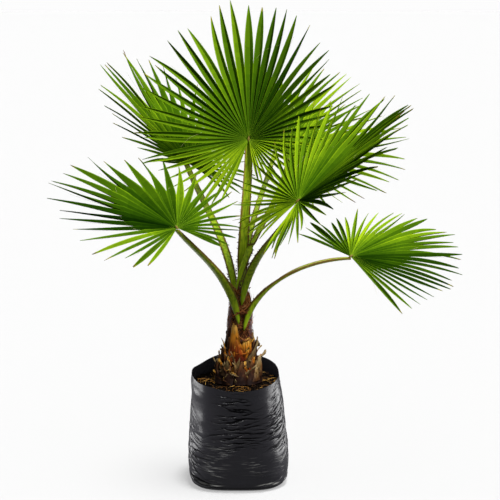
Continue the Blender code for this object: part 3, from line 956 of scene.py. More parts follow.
class PALM_OT_stem(bpy.types.Operator):
    """Stem with lengthwise relief, its dry leaf boots, and the fibre that wraps it"""

    bl_idname = "palm.stem"
    bl_label = "Stem"

    def execute(self, context):
        settings = context.scene.palm_stem
        draw = np.random.default_rng(5)
        self.add_core(settings, draw)
        self.add_boots(settings, draw)
        self.add_fibres(settings, draw)
        return {"FINISHED"}

    def add_core(self, settings, draw):
        """Stem: radius from the profile, with lengthwise furrows."""
        columns, rows = 96, 110
        turns = np.arange(columns) * 2 * math.pi / columns
        rise = np.linspace(-0.004, STEM_PROFILE[-1][0], rows)
        v, around = np.meshgrid(np.linspace(0, 1, rows), turns, indexing="ij")
        relief = smooth_noise(around / (2 * math.pi), v, draw, (34, 9), around=True) * 0.0016
        relief += smooth_noise(around / (2 * math.pi), v, draw, (70, 40), around=True) * 0.0007
        height = SOIL_TOP + rise
        radius = stem_radius(height)[:, None] * 0.95 + relief
        points = np.stack([radius * np.cos(around), radius * np.sin(around), around * 0], axis=-1)
        points = points + stem_middle(height)[:, None]
        numbers = np.arange(rows * columns).reshape(rows, columns)
        faces = [grid_faces(numbers, ring=True), numbers[0, ::-1][None], numbers[-1][None]]
        finish_piece(make_piece("stem_core", points, faces, [stem_finish(settings)]), ["stem"])

    def named_boots(self):
        """The boots that show in front, each with its own place."""
        return [
            Boot(252, 0.086, 0.073, 0.0165, 0.42, 0.002, 0.006, -5, 0.0070, 0.14, 0),
            Boot(276, 0.063, 0.055, 0.0120, 0.30, 0.004, 0.005, -16, 0.0060, 0.08, 4),
            Boot(302, 0.078, 0.044, 0.0185, 0.80, 0.002, 0.005, 4, 0.0050, 0.42, 0),
            Boot(296, 0.068, 0.030, 0.0070, 0.55, 0.005, 0.008, 6, 0.0030, 0.20, 0),
            Boot(222, 0.115, 0.032, 0.0060, 0.08, 0.001, 0.006, -8, 0.0030, 0.05, 2),
            Boot(216, 0.098, 0.034, 0.0080, 0.08, 0.001, 0.008, -12, 0.0030, 0.05, 2),
            Boot(226, 0.050, 0.062, 0.0090, 0.12, 0.004, 0.009, -22, 0.0035, 0.06, 0),
            Boot(346, 0.060, 0.058, 0.0130, 0.10, 0.005, 0.011, 0, 0.0060, 0.05, 2),
            Boot(334, 0.062, 0.056, 0.0035, 0.20, 0.009, 0.012, 2, 0.0030, 0.05, 1),
            Boot(350, 0.040, 0.046, 0.0090, 0.35, 0.010, 0.024, 0, 0.0050, 0.12, 1),
            Boot(296, 0.046, 0.066, 0.0140, 0.34, 0.008, 0.012, 40, 0.0035, 0.10, 3),
            Boot(338, 0.022, 0.052, 0.0160, 0.80, 0.010, 0.010, 0, 0.0090, 0.10, 1),
            Boot(222, 0.026, 0.044, 0.0130, 0.22, 0.012, 0.014, 22, 0.0030, 0.00, 3),
            Boot(190, 0.022, 0.044, 0.0095, 0.30, 0.010, 0.018, -4, 0.0025, 0.06, 3),
            Boot(262, 0.036, 0.034, 0.0050, 0.12, 0.010, 0.006, -3, 0.0022, 0.05, 1),
            Boot(285, 0.026, 0.028, 0.0085, 0.25, 0.010, 0.012, 34, 0.0022, 0.10, 3),
            Boot(240, 0.044, 0.060, 0.0150, 0.30, 0.001, 0.004, -3, 0.0050, 0.25, 4),
            Boot(277, 0.006, 0.062, 0.0180, 0.40, 0.006, 0.003, 6, 0.0060, 0.35, 2),
            Boot(242, 0.004, 0.058, 0.0180, 0.35, 0.006, 0.004, -2, 0.0050, 0.30, 2),
            Boot(205, 0.004, 0.052, 0.0200, 0.25, 0.008, 0.008, -10, 0.0045, 0.25, 2),
            Boot(312, 0.004, 0.054, 0.0180, 0.30, 0.007, 0.005, 0, 0.0050, 0.30, 2),
            Boot(345, 0.004, 0.050, 0.0200, 0.25, 0.009, 0.010, 0, 0.0045, 0.25, 2),
            Boot(312, 0.030, 0.046, 0.0120, 0.45, 0.008, 0.006, 2, 0.0045, 0.30, 4),
            Boot(322, 0.012, 0.046, 0.0170, 0.50, 0.011, 0.004, 10, 0.0050, 0.25, 1),
            Boot(206, 0.120, 0.092, 0.0120, 0.30, 0.001, 0.003, 4, 0.0030, 0.10, 5),
            Boot(338, 0.112, 0.080, 0.0110, 0.35, 0.001, 0.002, 4, 0.0030, 0.15, 5),
        ]

    def ruled_boots(self, settings, draw):
        """Smaller boots, each a golden angle on from the last and a little higher, but not among the named ones."""
        boots = []
        for index in range(settings.boots):
            share = index / settings.boots
            turn = (index * 137.5) % 360
            front = 205 < turn < 350 and share > 0.12
            if front and share > 0.62:
                continue
            size = (0.95 if front else 1.25) - 0.65 * share * (not front)
            kinds = [0.34, 0.08, 0.24, 0.06, 0.28] if front else [0.20, 0.10, 0.55, 0.07, 0.08]
            boots.append(
                Boot(
                    turn=turn + draw.normal(0, 6),
                    foot=0.002 + 0.150 * share,
                    length=0.046 * size * draw.uniform(0.7, 1.15),
                    half_width=0.0145 * size * draw.uniform(0.6, 1.1),
                    tip_share=draw.uniform(0.08, 0.4),
                    off=0.008 * (1 - share) ** 2,
                    splay=draw.uniform(0.001, 0.010) * (1.2 - share),
                    slant=draw.normal(0, 8),
                    thickness=0.0042 * size,
                    ragged=draw.uniform(0.05, 0.3),
                    finish=int(draw.choice(5, p=kinds)),
                )
            )
        return boots

    def shreds(self, settings, draw):
        """Narrow curled scraps all round, most of them low down."""
        return [
            Boot(
                turn=draw.uniform(0, 360),
                foot=draw.beta(1.0, 1.7) * 0.095,
                length=draw.uniform(0.012, 0.032),
                half_width=draw.uniform(0.0014, 0.0046),
                tip_share=draw.uniform(0.05, 0.5),
                off=draw.uniform(0.005, 0.011),
                splay=draw.uniform(0.001, 0.015),
                slant=draw.normal(0, 24),
                thickness=0.0015,
                ragged=draw.uniform(0.0, 0.3),
                finish=int(draw.choice(5, p=[0.22, 0.22, 0.32, 0.12, 0.12])),
            )
            for _ in range(settings.shreds)
        ]

    def add_boots(self, settings, draw):
        finishes = [
            boot_finish("boot_orange", (0.170, 0.034, 0.006), (0.620, 0.230, 0.018), (0.860, 0.480, 0.090), 0.36),
            boot_finish("boot_tan", (0.090, 0.036, 0.010), (0.300, 0.180, 0.062), (0.500, 0.360, 0.170), 0.60),
            boot_finish("boot_brown", (0.010, 0.003, 0.002), (0.060, 0.018, 0.006), (0.170, 0.070, 0.022), 0.60),
            boot_finish("boot_olive", (0.050, 0.026, 0.010), (0.150, 0.094, 0.034), (0.360, 0.260, 0.115), 0.60),
            boot_finish("boot_red", (0.080, 0.010, 0.003), (0.380, 0.072, 0.008), (0.500, 0.160, 0.020), 0.42),
            boot_finish("boot_sheath", (0.100, 0.040, 0.036), (0.240, 0.150, 0.160), (0.120, 0.050, 0.046), 0.45),
        ]
        boots = self.named_boots() + self.ruled_boots(settings, draw) + self.shreds(settings, draw)
        solids = [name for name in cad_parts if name.startswith("boot_")]
        for kind, finish in enumerate(finishes):
            blocks = [boot_mesh(boot, draw) for boot in boots if boot.finish == kind]
            points = np.stack([points for points, _, _ in blocks])
            count, rows, columns = points.shape[:3]
            numbers = np.arange(count * rows * columns).reshape(count, rows, columns)
            faces = [grid_faces(numbers, ring=True), numbers[:, 0, ::-1], numbers[:, -1]]
            piece = make_piece(finish.name, points, faces, [finish])
            add_values(piece, "along", np.stack([along for _, along, _ in blocks]))
            add_values(piece, "edge", np.stack([edge for _, _, edge in blocks]))
            finish_piece(piece, solids[kind::6])

    def add_fibres(self, settings, draw):
        """Fibres that slant round the stem both ways, each a thin tube just off its surface."""
        count, steps = settings.fibres, 9
        start = draw.uniform(0, 2 * math.pi, count)
        net = np.arange(count) < count // 3
        low = np.where(net, draw.uniform(0.135, 0.205, count), draw.beta(2.0, 0.9, count) * 0.205)
        rise = draw.uniform(0.012, 0.060, count)
        slant = draw.uniform(0.25, 1.5, count) * draw.choice([-1.0, 1.0], count)
        t = np.linspace(0, 1, steps)
        height = SOIL_TOP + np.minimum(low[:, None] + rise[:, None] * t, 0.236)
        turn = start[:, None] + slant[:, None] * t
        off = draw.uniform(-0.0004, 0.0028, count)[:, None] + draw.choice([0, 1], count, p=[0.9, 0.1])[:, None] * t**2 * 0.010
        radius = stem_radius(height) + off + net[:, None] * draw.uniform(0.0, 0.0030, count)[:, None]
        lines = np.stack([radius * np.cos(turn), radius * np.sin(turn), turn * 0], axis=-1) + stem_middle(height)
        radii = (draw.uniform(0.00018, 0.00050, count) + 0.00022 * net)[:, None] * (1 - 0.75 * t**2)
        colours = [(0.420, 0.140, 0.032), (0.160, 0.046, 0.014), (0.030, 0.011, 0.005), (0.440, 0.210, 0.070)]
        choice = np.where(net, draw.choice([0, 1, 3], count), draw.choice(4, count, p=[0.32, 0.34, 0.24, 0.10]))
        piece = tube_piece("stem_fibres", lines, radii, 3, plain_finishes("fibre", colours, 0.75), choice)
        finish_piece(piece)
        self.add_strands(draw)

    def add_strands(self, draw):
        """Stout strands of torn sheath between the petioles' feet: each slants round the stem in a slack arc."""
        count, steps = 90, 11
        t = np.linspace(0, 1, steps)
        start = np.radians(draw.uniform(0, 360, count))[:, None]
        low = draw.uniform(0.128, 0.200, count)[:, None]
        slant = (draw.uniform(0.5, 1.7, count) * draw.choice([-1.0, 1.0], count))[:, None]
        height = SOIL_TOP + np.minimum(low + draw.uniform(-0.012, 0.034, count)[:, None] * t, 0.232)
        height = height - draw.uniform(0.0, 0.010, count)[:, None] * 4 * t * (1 - t)
        radius = stem_radius(height) + draw.uniform(0.0005, 0.0060, count)[:, None]
        turn = start + slant * t
        lines = np.stack([radius * np.cos(turn), radius * np.sin(turn), turn * 0], axis=-1) + stem_middle(height)
        radii = draw.uniform(0.0004, 0.0010, count)[:, None] * (1 - 0.5 * np.abs(2 * t - 1) ** 2)
        colours = [(0.300, 0.105, 0.032), (0.130, 0.040, 0.014), (0.420, 0.190, 0.065), (0.045, 0.015, 0.007)]
        choice = draw.choice(4, count, p=[0.34, 0.28, 0.18, 0.20])
        crossing = np.array(CROSSING_STRANDS)[:, :, None]
        across = crossing[:, 0] * (1 - t) + crossing[:, 2] * t
        height = crossing[:, 1] * (1 - t) + crossing[:, 3] * t - 0.006 * 4 * t * (1 - t)
        height = height + 0.0012 * np.sin(t * 9 + np.arange(len(crossing))[:, None] * 2)
        front = -np.sqrt(np.maximum(crossing[:, 4] ** 2 - across**2, 0.0))
        lines = np.concatenate([lines, np.stack([across, front, across * 0], axis=-1) + stem_middle(height)])
        radii = np.concatenate([radii, 0.0017 * (1 - 0.6 * np.abs(2 * t - 1) ** 3) * np.ones((len(crossing), 1))])
        choice = np.append(choice, np.arange(len(crossing)) % 2)
        piece = tube_piece("stem_strands", lines, radii, 5, plain_finishes("strand", colours, 0.7), choice)
        finish_piece(piece)


def blade_axes(leaf):
    """Directions of a blade: along its midrib, across it, and out of its upper face."""
    midrib = bearing(leaf.heading, leaf.rise)
    upright = unit(UPRIGHT - midrib[2] * midrib)
    across = np.cross(midrib, upright)
    roll = math.radians(leaf.roll)
    face = upright * math.cos(roll) + across * math.sin(roll)
    return midrib, np.cross(midrib, face), face


def blade_points(leaf, turns, distances, lifts):
    """Points of a blade at angles from its midrib and distances from its hub, raised off its face.

    A leaflet runs straight out in a plane that is folded along the midrib and cupped, and falls by
    the square of the distance.
    """
    midrib, across, face = blade_axes(leaf)
    fold, cup = math.radians(leaf.fold), math.radians(leaf.cup)
    turns, distances, lifts = (values[..., None] for values in np.broadcast_arrays(turns, distances, lifts))
    ways = np.cos(turns) * midrib + np.sin(turns) * across * math.cos(fold)
    ways = ways + np.abs(np.sin(turns)) * face * math.sin(fold)
    ways = ways * math.cos(cup) + face * math.sin(cup)
    points = np.array(leaf.hub) + ways * distances + face * lifts
    return points - UPRIGHT * leaf.droop * distances**2 / leaf.reach


def blade_outline(leaf, turns):
    """Distance from the hub to the blade's edge: longest at the midrib, less at the sides, a little lopsided."""
    share = turns / math.radians(leaf.spread)
    return leaf.reach * (1 - leaf.shorten * np.abs(share) ** leaf.fade) * (1 + leaf.skew * share)


def joined_distance(leaf, turns):
    """Distance from the hub at which neighbouring leaflets part."""
    share = np.abs(turns) / math.radians(leaf.spread)
    return blade_outline(leaf, turns) * (JOINED_AT_MIDRIB + (JOINED_AT_EDGE - JOINED_AT_MIDRIB) * share)


def petiole_lines(leaf, steps):
    """Middle line of a petiole, with the level vectors across it at foot and tip.

    A cubic curve in one upright plane from the stem to the blade, leaving steeply and arching over.
    """
    foot = stem_middle(leaf.foot_height)
    clear = PETIOLE_FOOT_HALF[1] + FOOT_CLEARANCE
    if leaf.foot_height < SOIL_TOP + STEM_PROFILE[-1][0]:
        foot = foot + bearing(leaf.foot_turn) * (stem_radius(leaf.foot_height) + clear)
    _, _, face = blade_axes(leaf)
    end = np.array(leaf.hub) - face * (PETIOLE_SEAT + PETIOLE_TIP_HALF[1])
    plan = end - foot
    turn = math.degrees(math.atan2(plan[1], plan[0]))
    stretch = np.linalg.norm(plan) * 0.36
    first = foot + bearing(turn, 90 - leaf.lean) * stretch
    last = end - bearing(turn, leaf.arrive) * stretch
    t = np.linspace(0, 1, steps)[:, None]
    line = foot * (1 - t) ** 3 + 3 * first * t * (1 - t) ** 2 + 3 * last * t**2 * (1 - t) + end * t**3
    return line, np.cross(bearing(leaf.foot_turn), UPRIGHT), np.cross(bearing(turn), UPRIGHT)


def petiole_frames(leaf, steps):
    """Middle line of a petiole and, at each step, the vectors across it and out of its upper side, and its half sizes."""
    line, foot_side, tip_side = petiole_lines(leaf, steps)
    ways = unit(np.gradient(line, axis=0))
    share = np.linspace(0, 1, steps)[:, None]
    side = foot_side + (tip_side - foot_side) * np.minimum(1.0, share * PETIOLE_TURN_RATE)
    side = unit(side - ways * np.sum(side * ways, axis=1, keepdims=True))
    upper = np.cross(side, ways)
    half_wide = (PETIOLE_FOOT_HALF[0] + (PETIOLE_TIP_HALF[0] - PETIOLE_FOOT_HALF[0]) * share) * leaf.girth
    half_wide = half_wide * np.interp(share, (0.0, PETIOLE_PINCHED), (PETIOLE_FOOT_PINCH, 1.0))
    half_thick = PETIOLE_FOOT_HALF[1] + (PETIOLE_TIP_HALF[1] - PETIOLE_FOOT_HALF[1]) * share
    return line, ways, side, upper, half_wide, half_thick


class PALM_OT_petioles(bpy.types.Operator):
    """Leaf stalks, channelled above and rounded below, with hooked spines along both margins"""

    bl_idname = "palm.petioles"
    bl_label = "Petioles"

    def execute(self, context):
        settings = context.scene.palm_leaf
        draw = np.random.default_rng(8)
        skin = petiole_finish()
        spine_lines = []
        spine_radii = []
        for leaf in LEAVES:
            self.add_stalk(leaf, skin)
            lines, radii = self.spines(leaf, settings, draw)
            spine_lines.append(lines)
            spine_radii.append(radii)
        lines, radii = np.concatenate(spine_lines), np.concatenate(spine_radii)
        colours = [(0.070, 0.022, 0.009), (0.150, 0.055, 0.016)]
        choice = draw.integers(0, 2, len(lines))
        piece = tube_piece("petiole_spines", lines, radii, 4, plain_finishes("spine", colours, 0.5), choice)
        finish_piece(piece)
        return {"FINISHED"}

    def add_stalk(self, leaf, skin):
        """Section in polar form: a flat oval whose upper half is pressed in to a channel between two margins."""
        steps, around = 64, 20
        line, ways, side, upper, half_wide, half_thick = petiole_frames(leaf, steps)
        angle = np.arange(around) * 2 * math.pi / around
        across = np.cos(angle)
        high = np.where(np.sin(angle) > 0, 0.08 + 0.50 * across**4, np.sin(angle))
        high = np.where(np.abs(np.sin(angle)) < 1e-6, 0.42, high)
        share = np.linspace(0, 1, steps)[:, None]
        swell = 1 - 0.38 * np.exp(-((share / 0.16) ** 2))
        closing = np.sqrt(np.clip(share / 0.035, 0.02, 1))
        stout = 1 + (leaf.plump - 1) * np.interp(share, (0.06, 0.34, 0.88, 1.0), (0.0, 1.0, 1.0, 0.0))
        wide, thick = half_wide * swell * closing * stout, half_thick * closing * stout
        points = line[:, None] + side[:, None] * (wide * across)[..., None] + upper[:, None] * (thick * high)[..., None]
        numbers = np.arange(steps * around).reshape(steps, around)
        faces = [grid_faces(numbers, ring=True)[:, ::-1], numbers[0][None], numbers[-1, ::-1][None]]
        piece = make_piece(f"stalk_{leaf.name}", points, faces, [skin])
        add_values(piece, "along", share + across * 0)
        rim = np.where(np.sin(angle) < -0.05, 0.92 * np.abs(across) ** 3, np.abs(across))
        add_values(piece, "margin", rim + share * 0)
        finish_piece(piece, list(leaf.nodes))

    def spines(self, leaf, settings, draw):
        """Hooks along both margins, closer and longer near the foot: each leaves sideways and bends to the tip."""
        steps = 260
        line, ways, side, upper, half_wide, half_thick = petiole_frames(leaf, steps)
        length = np.linalg.norm(np.diff(line, axis=0), axis=1).sum()
        count = int(length / 0.0105)
        lines = []
        radii = []
        t = np.linspace(0, 1, 4)[:, None]
        for sign in (-1, 1):
            shares = np.sort(draw.beta(1.15, 1.6, count)) * 0.86 + 0.04
            at = (shares * (steps - 1)).astype(int)
            long = settings.spine * (1.05 - 0.75 * shares) * draw.uniform(0.6, 1.1, count)
            stout = 1 + (leaf.plump - 1) * np.interp(shares, (0.06, 0.34, 0.88, 1.0), (0.0, 1.0, 1.0, 0.0))[:, None]
            start = line[at] + (sign * side[at] * half_wide[at] * 0.93 + upper[at] * half_thick[at] * 0.35) * stout
            out = sign * side[at] + upper[at] * 0.25
            hook = ways[at] * draw.choice([-1.0, 1.0], count, p=[0.25, 0.75])[:, None]
            bend = out[:, None] * t * 0.9 + hook[:, None] * t**2 * 0.55
            lines.append(start[:, None] + bend * long[:, None, None])
            radii.append(0.00160 * (long / settings.spine)[:, None] * (1 - 0.88 * t[:, 0]))
        return np.concatenate(lines), np.concatenate(radii)


SIDES = np.array([-1.0, -0.84, 0.0, 0.84, 1.0])
ACROSS = len(SIDES) - 1
JOINED_ROWS = 12
FREE_ROWS = 15
HUB_SHARE = 0.004
LIGHT_FROM = np.array([0.39, -0.56, 0.73])
SIDE_SWELL = 4.0
TAPER = 1.55
GREENS = 21
# The greens reach this far below the deep colour, for painted shadow
DARKEST = -0.4
TIP_YELLOW = GREENS
TIP_BROWN = GREENS + 1
RIB = GREENS + 2
THREAD = GREENS + 3


def leaf_finishes(settings):
    """Greens from darker than deep, for painted shadow, to bright, then the colours of dry tips, ribs and threads."""
    deep, bright = np.array(settings.deep), np.array(settings.bright)
    greens = [tuple(deep * (bright / deep) ** share) for share in np.linspace(DARKEST, 1, GREENS)]
    dry = [(0.250, 0.240, 0.022), (0.130, 0.070, 0.020), (0.170, 0.290, 0.014), (0.480, 0.440, 0.200)]
    return plain_finishes("leaf", [tuple(float(c) for c in colour) for colour in greens + dry], 0.5, 0.0)


class PALM_OT_fans(bpy.types.Operator):
    """Fans: fine pleated leaflets, joined near the hub and free beyond, with ribs and loose threads"""

    bl_idname = "palm.fans"
    bl_label = "Fans"

    def execute(self, context):
        settings = context.scene.palm_leaf
        finishes = leaf_finishes(settings)
        for seed, leaf in enumerate(LEAVES):
            draw = np.random.default_rng(100 + seed)
            self.add_fan(leaf, settings, finishes, draw)
        self.add_hastulas()
        return {"FINISHED"}

    def add_hastulas(self):
        """Small dry tongue at each hub: a spindle along the midrib that swells by sin(pi t)^0.6 and ends in a point."""
        t = np.linspace(0, 1, 9)
        lines = []
        for leaf in LEAVES:
            midrib, _, face = blade_axes(leaf)
            lines.append(np.array(leaf.hub) + face * 0.0008 + midrib * (0.013 * t - 0.005)[:, None])
        radii = np.tile(0.0036 * np.sin(math.pi * np.clip(t, 0.03, 0.97)) ** 0.6 * (1.1 - 0.6 * t), (len(LEAVES), 1))
        dry = plain_finishes("hastula", [(0.190, 0.150, 0.030), (0.150, 0.100, 0.020)], 0.6)
        piece = tube_piece("hastulas", np.array(lines), radii, 8, dry, np.arange(len(LEAVES)) % 2)
        finish_piece(piece)

    def add_fan(self, leaf, settings, finishes, draw):
        """One sheet in rows out from the hub and columns round it, low at each rib and high at each crease.

        Past the joined part each leaflet has its own columns. Its half width goes by (1 + swell u)(1 - u^TAPER), it
        bends sideways and twists by u², and its length and its fall vary from leaflet to leaflet.
        """
        count = leaf.leaflets
        half = math.radians(leaf.spread) / count
        columns = count * ACROSS + 1
        ribs = (np.arange(count) * 2 + 1 - count) * half
        turns = np.append((ribs[:, None] + SIDES[:-1] * half).reshape(-1), math.radians(leaf.spread))
        zigzag = (np.append(np.tile(np.abs(SIDES[:-1]), count), 1.0) - 0.5) * 2
        shares = np.linspace(HUB_SHARE, 1, JOINED_ROWS)[:, None]
        parting = joined_distance(leaf, turns)
        distance = parting * shares
        joined = blade_points(leaf, turns, distance, zigzag * settings.pleat * half * distance * 0.5)
        u = np.linspace(0, 1, FREE_ROWS + 1)[1:][:, None]
        lengths = blade_outline(leaf, ribs) * (1 - 0.08 * draw.random(count) ** 1.5)
        start = joined_distance(leaf, ribs)
        fork = draw.uniform(0.0002, 0.0008, count)[:, None, None]
        base_half = (half * start)[:, None, None]
        widening = (leaf.swell + SIDE_SWELL * np.abs(ribs / math.radians(leaf.spread)) ** 4)[:, None, None]
        wide = base_half * (1 + widening * u) * (1 - u**TAPER) + fork * u**3
        edge_start = joined_distance(leaf, ribs[:, None] + SIDES * half)[:, None, :]
        notch = (1 - np.abs(SIDES)) * 0.010 * draw.random(count)[:, None]
        run = edge_start * (1 - u) + (lengths[:, None] - notch)[:, None, :] * u
        together = smooth_noise(np.linspace(0, 1, count), np.zeros(count), draw, (count // 3, 1)) * 0.030
        bow = (draw.normal(0, 0.022, count) + together)[:, None, None] * u**1.5
        twist = draw.normal(0, 0.8, count)[:, None, None] * u
        free_turns = ribs[:, None, None] + (SIDES * wide) / run + bow
        lift = (np.abs(SIDES) - 0.5) * settings.pleat * wide + SIDES * wide * twist
        curl = draw.normal(0.012, 0.024, count)[:, None, None] * leaf.reach * u**2.2
        free = blade_points(leaf, free_turns, run, lift - curl)
        points = np.concatenate([joined.reshape(-1, 3), free.reshape(-1, 3)])
        numbers = np.arange(JOINED_ROWS * columns).reshape(JOINED_ROWS, columns)
        first = numbers[-1][(np.arange(count) * ACROSS)[:, None] + np.arange(ACROSS + 1)][:, None]
        rest = JOINED_ROWS * columns + np.arange(free.size // 3).reshape(free.shape[:3])
        free_numbers = np.concatenate([first, rest], axis=1)
        faces = [grid_faces(numbers), grid_faces(free_numbers)]
        choices = self.shades(leaf, draw)
        piece = make_piece(f"fan_{leaf.name}", points, faces, finishes, choices)
        wall = piece.modifiers.new("Thickness", "SOLIDIFY")
        wall.thickness = settings.thickness
        wall.offset = 0.0
        finish_piece(piece, [f"frond_{leaf.name}"])
        self.add_ribs(leaf, ribs, start, lengths, half, settings, finishes, draw)

    def side_shades(self, leaf, share):
        """Painted light and shade: lighter halves where a leaflet's side turns away from the light, which its pleat
        lifts towards it, and painted highlights along its raised edges."""
        turns = share * math.radians(leaf.spread)
        midrib, across, _ = blade_axes(leaf)
        sideways = np.cos(turns)[:, None] * across - np.sin(turns)[:, None] * midrib
        lean = sideways @ LIGHT_FROM
        # Painted highlights on the raised edges, and halves made lighter or darker by how they face the light
        return np.array([0.16, -0.06, -0.06, 0.16]) + 0.13 * lean[:, None] * np.array([1, 1, -1, -1])

    def shades(self, leaf, draw):
        """Material of each face: a shade for each leaflet, shifted along its length, with dry tips here and there."""
        count = leaf.leaflets
        share = np.linspace(-1, 1, count)
        # Painted light and shade by part of the fan, with some of the leaflet's own tone and a random shift for each
        # leaflet
        own = np.interp(share, np.linspace(-1, 1, len(leaf.tones_and_shading)), leaf.tones_and_shading) + draw.normal(0, 0.12, count)
        near = np.linspace(0, 1, JOINED_ROWS - 1)[:, None, None]
        sides = self.side_shades(leaf, share)
        joined = own[:, None] - 0.24 + 0.30 * near**1.4 + sides + draw.normal(0, 0.012, (JOINED_ROWS - 1, count, ACROSS))
        out = np.linspace(0, 1, FREE_ROWS)[:, None]
        free = own[:, None, None] + 0.06 + 0.10 * out + sides[:, None] + draw.normal(0, 0.012, (count, FREE_ROWS, ACROSS))
        joined, free = (
            np.clip(np.round((shade - DARKEST) / (1 - DARKEST) * (GREENS - 1)), 0, GREENS - 1) for shade in (joined, free)
        )
        dry = draw.random(count)
        last = FREE_ROWS - draw.choice([1, 2], count, p=[0.8, 0.2])
        row = np.arange(FREE_ROWS)
        yellow = (dry < 0.42)[:, None] & (row >= last[:, None])
        brown = (dry < 0.18)[:, None] & (row >= last[:, None] + 1)
        free[yellow] = TIP_YELLOW
        free[brown] = TIP_BROWN
        return [joined.reshape(-1), free.reshape(-1)]

    def add_ribs(self, leaf, ribs, start, lengths, half, settings, finishes, draw):
        """A fine pale rib under each leaflet, and threads that curl from the partings."""
        steps = 9
        t = np.linspace(0.03, 1, steps)
        reach = start + (lengths - start) * 0.72
        distance = reach[:, None] * t
        deep = settings.pleat * half * np.minimum(distance, start[:, None]) * 0.5
        lines = blade_points(leaf, ribs[:, None], distance, -deep + 0.0003)
        radii = np.full(len(ribs), 0.00055)[:, None] * (1 - 0.8 * t)
        count = len(ribs) // 3
        at = draw.choice(len(ribs) - 1, count, replace=False)
        crease = (ribs[at] + ribs[at + 1]) / 2
        origin = joined_distance(leaf, crease)
        long = draw.uniform(0.02, 0.07, count)
        out = origin[:, None] + long[:, None] * t
        sway = crease[:, None] + draw.normal(0, 0.25, count)[:, None] * t**2
        fall = -draw.uniform(-0.2, 0.9, count)[:, None] * long[:, None] * t**2 * 0.5
        threads = blade_points(leaf, sway, out, fall)
        thread_radii = np.full(count, 0.00028)[:, None] * (1 - 0.5 * t)
        lines = np.concatenate([lines, threads])
        radii = np.concatenate([radii, thread_radii])
        choice = np.concatenate([np.full(len(ribs), RIB), np.full(count, THREAD)])
        piece = tube_piece(f"ribs_{leaf.name}", lines, radii, 3, finishes, choice)
        finish_piece(piece)


